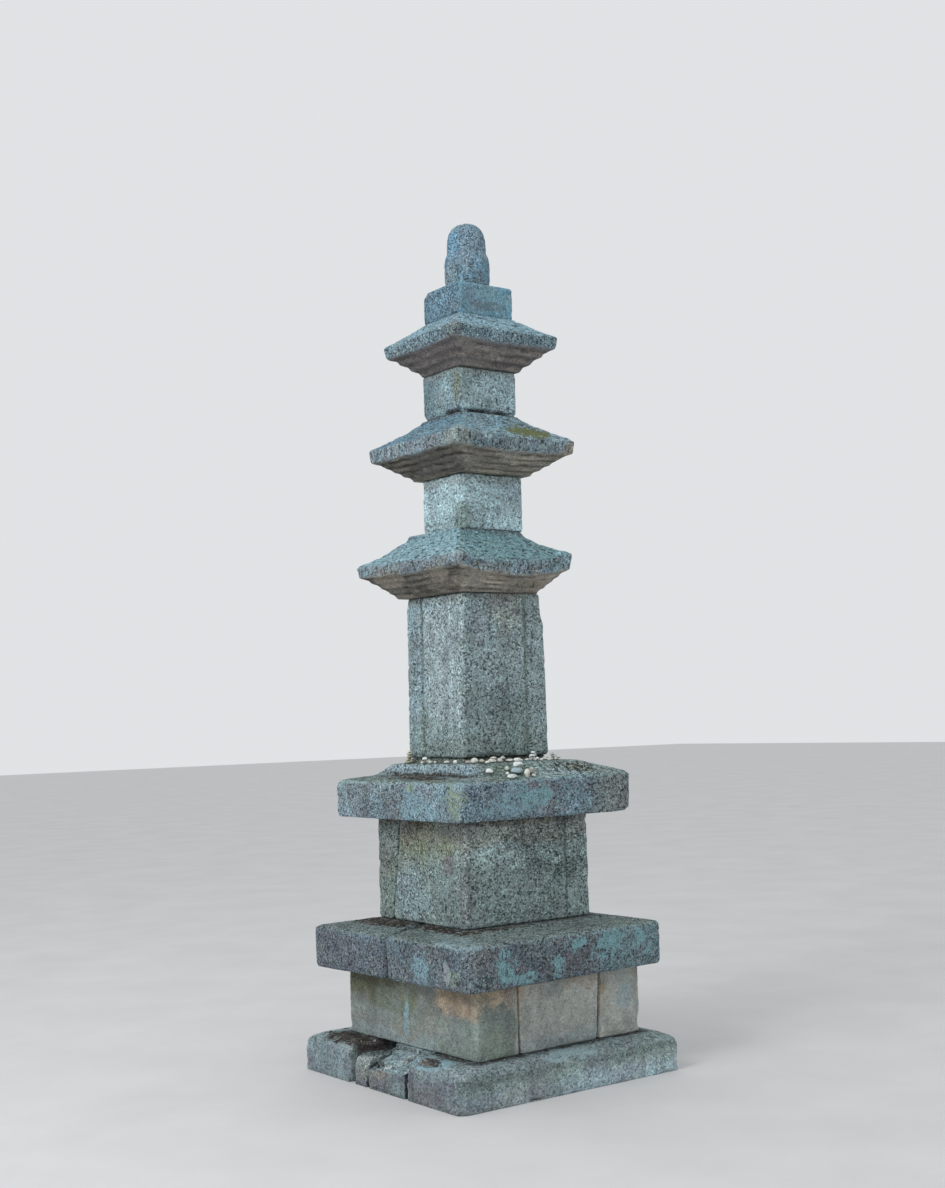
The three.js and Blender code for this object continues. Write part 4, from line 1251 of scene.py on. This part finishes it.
def solid(*nodes):
    """The stones of these nodes, made ready to be met by plumb lines."""
    depsgraph = bpy.context.evaluated_depsgraph_get()
    return [BVHTree.FromObject(bpy.data.objects[f"{node}_stone"], depsgraph) for node in nodes]


ON_UPPER_CAP = solid("upper_cap")
ON_LOWER_CAP = solid("lower_cap_front", "lower_cap_back")
ON_GROUND_COURSE = solid("ground_course_front", "ground_course_back", "ground_course_left_spalled")


def ground_under(point, carriers):
    """Where a plumb line from the point meets the stones, and the slope there."""
    met = [carrier.ray_cast(point, (0, 0, -1))[:2] for carrier in carriers]
    return max((hit for hit in met if hit[0] is not None), key=lambda hit: hit[0].z, default=None)


def pebble_points(centre, radii, turned, seed, flat):
    """The vertices and faces of an uneven pebble. flat is how angular its broken sides are."""
    bm = bmesh.new()
    bmesh.ops.create_icosphere(bm, subdivisions=4, radius=1.0)
    co = np.array([v.co[:] for v in bm.verts])
    faces = [[v.index for v in face.verts] for face in bm.faces]
    bm.free()
    lumpy = 1 + 0.20 * fractal(co, 1.2, seed, 2) + 0.04 * fractal(co, 0.4, seed + 1, 2)
    co = co * lumpy[:, None] * 0.96
    rng = np.random.default_rng(seed)
    for _ in range(5):
        side = rng.normal(size=3)
        side /= np.linalg.norm(side)
        over = np.maximum(co @ side - (0.95 - 0.3 * flat), 0)
        co = co - over[:, None] * side * (0.4 + 0.6 * flat)
    sine, cosine = math.sin(math.radians(turned)), math.cos(math.radians(turned))
    spin = np.array([[cosine, sine, 0], [-sine, cosine, 0], [0, 0, 1]])
    return (co * radii) @ spin + centre, faces


def joined(name, parts, seed):
    """A mesh and its surface, of parts given as their points, faces and colour."""
    points, faces, tones = [], [], []
    for co, polygons, colour in parts:
        faces += [[index + len(points) for index in polygon] for polygon in polygons]
        points += [tuple(point) for point in co]
        tones += [colour] * len(co)
    mesh = bpy.data.meshes.new(name)
    mesh.from_pydata(points, [], faces)
    mesh.update()
    surface = Surface(np.array(points), numbers(mesh.vertex_normals, "vector", 3), seed)
    surface.tone = np.array(tones)
    return mesh, surface


def settled(co, carriers):
    """The pebble let down until it rests on what is under it, and pressed in a little."""
    lower = co[co[:, Z] < co[:, Z].mean()][::3]
    drops = []
    for point in lower:
        start = Vector(point) + Vector((0, 0, 0.10))
        found = ground_under(start, carriers)
        if found:
            drops.append(point[2] - found[0].z)
    if drops:
        co = co - np.array([0, 0, np.percentile(drops, 5)])
    return co


def pebble_mesh(name, pebbles, carriers, seed):
    """One mesh of settled pebbles, each given as centre, radii, turn, colour and how angular it is.

    Every pebble joins the carriers, so that the next ones can lie on it.
    """
    parts = []
    for number, (centre, radii, turned, colour, flat) in enumerate(pebbles):
        co, polygons = pebble_points(np.array(centre), np.array(radii), turned, seed + 7 * number, flat)
        co = settled(co, carriers)
        carriers.append(BVHTree.FromPolygons(co.tolist(), polygons))
        parts.append((co, polygons, colour))
    mesh, surface = joined(name, parts, seed)
    surface.shade(0.85, surface.patches(0.025, 0.35, 1))
    # painted shade on the pebbles' undersides
    surface.shade(0.55, surface.facing(DOWN, 0.2, 0.9))
    store(mesh, surface)
    return mesh


OLIVE_PEBBLE = (0.36, 0.35, 0.25)
TAN_PEBBLE = (0.51, 0.49, 0.42)
PINK_PEBBLE = (0.50, 0.46, 0.42)
GREY_PEBBLE = (0.50, 0.53, 0.50)
BLUE_PEBBLE = (0.38, 0.50, 0.54)

# The colour of each votive stone that is not cream, and how angular it is.
VOTIVE_LOOKS = {
    "votive_stack_foot": (OLIVE_PEBBLE, 0.2),
    "votive_stack_second": (TAN_PEBBLE, 0.2),
    "votive_stack_third": (OLIVE_PEBBLE, 0.2),
    "votive_stack_fourth": (TAN_PEBBLE, 0.2),
    "votive_stack_head": (CREAM, 0.2),
    "votive_cairn_foot": (BLUE_PEBBLE, 0.3),
    "votive_cairn_middle": (STONE_WHITE, 0.6),
    "votive_slope_white": (STONE_WHITE, 0.4),
}

# Heaps of small broken stones, each with its stones in the order in which they are laid: place
# and half size as shares of the heap's own, and colour.
LOW_HEAP = (
    (-0.55, 0.15, 0.44, TAN_PEBBLE),
    (0.15, 0.55, 0.40, TAN_PEBBLE),
    (0.55, -0.25, 0.44, CREAM),
    (0.0, 0.05, 0.66, STONE_WHITE),
)
BROKEN_HEAP = (
    (-0.60, -0.20, 0.46, GREY_PEBBLE),
    (0.60, -0.10, 0.46, STONE_WHITE),
    (0.0, 0.45, 0.52, GREY_PEBBLE),
    (0.05, -0.45, 0.44, CREAM),
    (-0.25, 0.0, 0.50, STONE_WHITE),
    (0.30, 0.05, 0.42, GREY_PEBBLE),
    (0.02, 0.05, 0.36, STONE_WHITE),
)
HEAPS = {
    "votive_left_cone": LOW_HEAP,
    "votive_front_fourth": BROKEN_HEAP,
    "votive_right_foot": BROKEN_HEAP[:5],
    "votive_right_head": BROKEN_HEAP[:4],
}


def heaped(node, centre, radii, seed):
    """The stones of a heap as pebble_mesh takes them."""
    rng = np.random.default_rng(seed)
    size = sum(radii) / 3
    stones = []
    for along, across, share, colour in HEAPS[node]:
        where = (centre.x + along * radii.x, centre.y + across * radii.y, centre.z + 0.08)
        half = np.array((1.1, 0.9, 0.72)) * rng.uniform(0.9, 1.1, 3) * share * size
        stones.append((where, half, rng.uniform(0, 180), colour, 1.0))
    return stones


votive_nodes = [node for node in frame["nodes"] if node.startswith("votive_")]
for number, node in enumerate(sorted(votive_nodes, key=lambda name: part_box(name)[0].z)):
    low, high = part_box(node)
    centre, radii = (low + high) / 2, (high - low) / 2
    colour, flat = VOTIVE_LOOKS.get(node, (CREAM, 0.4))
    pebbles = [(centre, radii, 0, colour, flat)]
    if node in HEAPS:
        pebbles = heaped(node, centre, radii, 600 + number)
    mesh = pebble_mesh(node, pebbles, ON_UPPER_CAP, 211 + 31 * number)
    place(node, mesh, *VOTIVE, node)

# Pebbles too small for the frame, as place along X and Y, three radii, turn and colour.
SMALL_PEBBLES = (
    (-0.338, -0.056, 0.008, 0.011, 0.007, 10, GREY_PEBBLE),
    (-0.338, -0.017, 0.010, 0.013, 0.007, 40, STONE_WHITE),
    (-0.336, -0.234, 0.010, 0.012, 0.010, 20, STONE_WHITE),
    (-0.332, -0.338, 0.016, 0.014, 0.010, 0, PINK_PEBBLE),
    (-0.217, -0.350, 0.013, 0.012, 0.007, 15, STONE_WHITE),
    (-0.157, -0.325, 0.016, 0.013, 0.007, -20, CREAM),
    (0.060, -0.330, 0.012, 0.011, 0.008, 30, CREAM),
    (0.181, -0.325, 0.017, 0.013, 0.008, 0, STONE_WHITE),
    (-0.213, -0.545, 0.029, 0.018, 0.012, 8, STONE_WHITE),
    (-0.205, -0.500, 0.009, 0.010, 0.010, 0, STONE_WHITE),
    (-0.055, -0.505, 0.018, 0.016, 0.015, 30, (0.40, 0.375, 0.31)),
    (-0.030, -0.480, 0.012, 0.012, 0.009, 60, CREAM),
    (0.215, -0.300, 0.018, 0.015, 0.013, 50, CREAM),
    (0.285, -0.300, 0.020, 0.017, 0.014, 10, GREY_PEBBLE),
    (0.155, -0.335, 0.011, 0.010, 0.007, 30, STONE_WHITE),
    (0.205, -0.340, 0.012, 0.012, 0.008, 70, CREAM),
    (-0.095, -0.322, 0.015, 0.012, 0.010, 20, GREY_PEBBLE),
    (-0.235, -0.325, 0.017, 0.014, 0.012, 0, TAN_PEBBLE),
    (0.020, -0.330, 0.012, 0.010, 0.007, 0, STONE_WHITE),
    (-0.070, -0.545, 0.013, 0.012, 0.011, 15, CREAM),
    (-0.180, -0.465, 0.012, 0.012, 0.011, 65, CREAM),
    (0.262, -0.350, 0.012, 0.011, 0.008, 0, CREAM),
    (-0.330, 0.230, 0.009, 0.010, 0.006, 0, TAN_PEBBLE),
)
small = [
    ((x, y, 1.70 if abs(x) < 0.4 and abs(y) < 0.4 else 1.65), (a, b, c), turned, colour, 0.4)
    for x, y, a, b, c, turned, colour in SMALL_PEBBLES
]
mesh = pebble_mesh("small_pebbles", small, ON_UPPER_CAP, 431)
place("small_votive_pebbles", mesh, *VOTIVE)

# Needles and leaves that lie on the ledges


NEEDLE, LEAF = 0.0016, 0.006  # half their width
STRIP_THICKNESS = 0.0018
DROP_FROM = 1.9  # a height above every ledge that carries litter
MOST_SAG = 0.025  # how far a strip may bend down over an edge


def lying_strip(points, half_width):
    """A thin closed strip through points, with a flat rectangular section."""
    points = np.array(points)
    across = np.cross(points[-1] - points[0], (0, 0, 1))
    across = across / max(np.linalg.norm(across), 1e-9) * half_width
    lift = np.array([0, 0, STRIP_THICKNESS])
    rings = [[p - across, p + across, p + across + lift, p - across + lift] for p in points]
    last = 4 * (len(points) - 1)
    faces = [[3, 2, 1, 0]]
    for first in range(0, last, 4):
        for k in range(4):
            turn = (k + 1) % 4
            faces.append([first + k, first + turn, first + 4 + turn, first + 4 + k])
    faces.append([last, last + 1, last + 2, last + 3])
    return [corner for ring in rings for corner in ring], faces


def litter(name, beds, carriers, seed):
    """Needles and leaves strewn over oval beds: centre, half sizes, how many, and their length."""
    rng = np.random.default_rng(seed)
    parts = []
    for middle, half_size, count, length in beds:
        for _ in range(count):
            spot = rng.normal(0, 0.45, 2) * half_size + middle
            angle, size = rng.uniform(0, math.pi), length * rng.uniform(0.6, 1.3)
            leaf = rng.uniform() < 0.4
            reach = np.array([math.cos(angle), math.sin(angle)]) * size / 2 * (0.5 if leaf else 1)
            line = []
            for share in (-1, -0.33, 0.33, 1):
                at = spot + reach * share
                found = ground_under((*at, DROP_FROM), carriers)
                if found and found[1].z > 0.5:
                    line.append((*at, found[0].z))
            colour = LEAF_DARK_AND_SHADE if leaf else NEEDLE_BROWN if rng.uniform() < 0.6 else NEEDLE_PALE
            if len(line) == 4 and np.ptp([point[Z] for point in line]) <= MOST_SAG:
                parts.append((*lying_strip(line, LEAF if leaf else NEEDLE), colour))
    mesh, surface = joined(name, parts, seed)
    store(mesh, surface)
    mesh.shade_flat()
    place(name, mesh, "rubble_fill", LITTER)


# Oval beds of litter: middle, half sizes, how many needles and leaves, and their length.
LOWER_BEDS = (
    ((-0.47, 0.25), (0.05, 0.30), 260, 0.07),
    ((-0.45, -0.20), (0.035, 0.25), 160, 0.06),
    ((-0.30, -0.46), (0.22, 0.04), 60, 0.06),
    ((0.47, 0.05), (0.05, 0.30), 90, 0.06),
    ((0.05, 0.50), (0.30, 0.04), 80, 0.06),
)
UPPER_BEDS = (
    ((0.30, -0.47), (0.20, 0.06), 60, 0.045),
    ((-0.46, -0.10), (0.035, 0.25), 150, 0.04),
    ((0.38, 0.10), (0.07, 0.30), 60, 0.05),
    ((0.00, 0.40), (0.30, 0.06), 60, 0.05),
)
GROUND_BEDS = (((-0.61, 0.40), (0.08, 0.20), 380, 0.045), ((0.10, 0.64), (0.35, 0.05), 60, 0.05))

litter("litter_on_lower_cap", LOWER_BEDS, ON_LOWER_CAP, 501)
litter("litter_on_upper_cap", UPPER_BEDS, ON_UPPER_CAP[:1], 503)
litter("litter_on_ground_course", GROUND_BEDS, ON_GROUND_COURSE, 507)

# Stage, light and camera

SKY = (0.96, 0.98, 1.0)
SKY_STRENGTH = 0.78
LAMP_PLACE, LAMP_AIM = Vector((-9.0, -1.5, 7.5)), Vector((0, 0, 2.2))
LAMP_SIZE, LAMP_POWER = 5.0, 500
FLOOR_LEVELS = (0.3, 0.63), (0.7, 0.68)

# The camera, in millimetres, metres and degrees.
LENS, SENSOR = 46.85, 36
EYE = (-5.0567, -6.7393, 1.8672)
YAW, PITCH, ROLL = 36.783, 4.599, -1.712


def flat_stage():
    """A wide pale floor."""
    bm = bmesh.new()
    bmesh.ops.create_grid(bm, x_segments=1, y_segments=1, size=60)
    mesh = bpy.data.meshes.new("studio_floor")
    bm.to_mesh(mesh)
    bm.free()
    n = Nodes("pale_floor")
    mottle = n.ramp(n.noise(1.5, 4.0), *FLOOR_LEVELS)
    mesh.materials.append(n.finish(mottle, 0.9, n.bump(n.noise(90.0), 0.001)))
    floor = bpy.data.objects.new("studio_floor", mesh)
    bpy.context.scene.collection.objects.link(floor)


def studio_light():
    """An even pale sky, and one large soft lamp high on the left."""
    world = bpy.data.worlds.new("studio")
    world.use_nodes = True
    background = world.node_tree.nodes["Background"]
    background.inputs["Color"].default_value = opaque(SKY)
    background.inputs["Strength"].default_value = SKY_STRENGTH
    bpy.context.scene.world = world

    light = bpy.data.lights.new("key", "AREA")
    light.shape = "DISK"
    light.size = LAMP_SIZE
    light.energy = LAMP_POWER
    lamp = bpy.data.objects.new("key", light)
    lamp.location = LAMP_PLACE
    lamp.rotation_euler = (LAMP_AIM - LAMP_PLACE).to_track_quat("-Z", "Y").to_euler()
    bpy.context.scene.collection.objects.link(lamp)


def camera():
    """Looks up at the pagoda from beyond its near corner."""
    data = bpy.data.cameras.new("camera")
    data.sensor_width = SENSOR
    data.lens = LENS
    data.clip_end = 200
    made = bpy.data.objects.new("camera", data)
    yaw, pitch, roll = (math.radians(angle) for angle in (YAW, PITCH, ROLL))
    turned = Matrix.Rotation(-yaw, 4, "Z")
    turned = turned @ Matrix.Rotation(math.pi / 2 + pitch, 4, "X") @ Matrix.Rotation(roll, 4, "Z")
    made.matrix_world = Matrix.Translation(EYE) @ turned
    bpy.context.scene.collection.objects.link(made)
    bpy.context.scene.camera = made


flat_stage()
studio_light()
camera()
bpy.context.scene.view_settings.view_transform = "Standard"
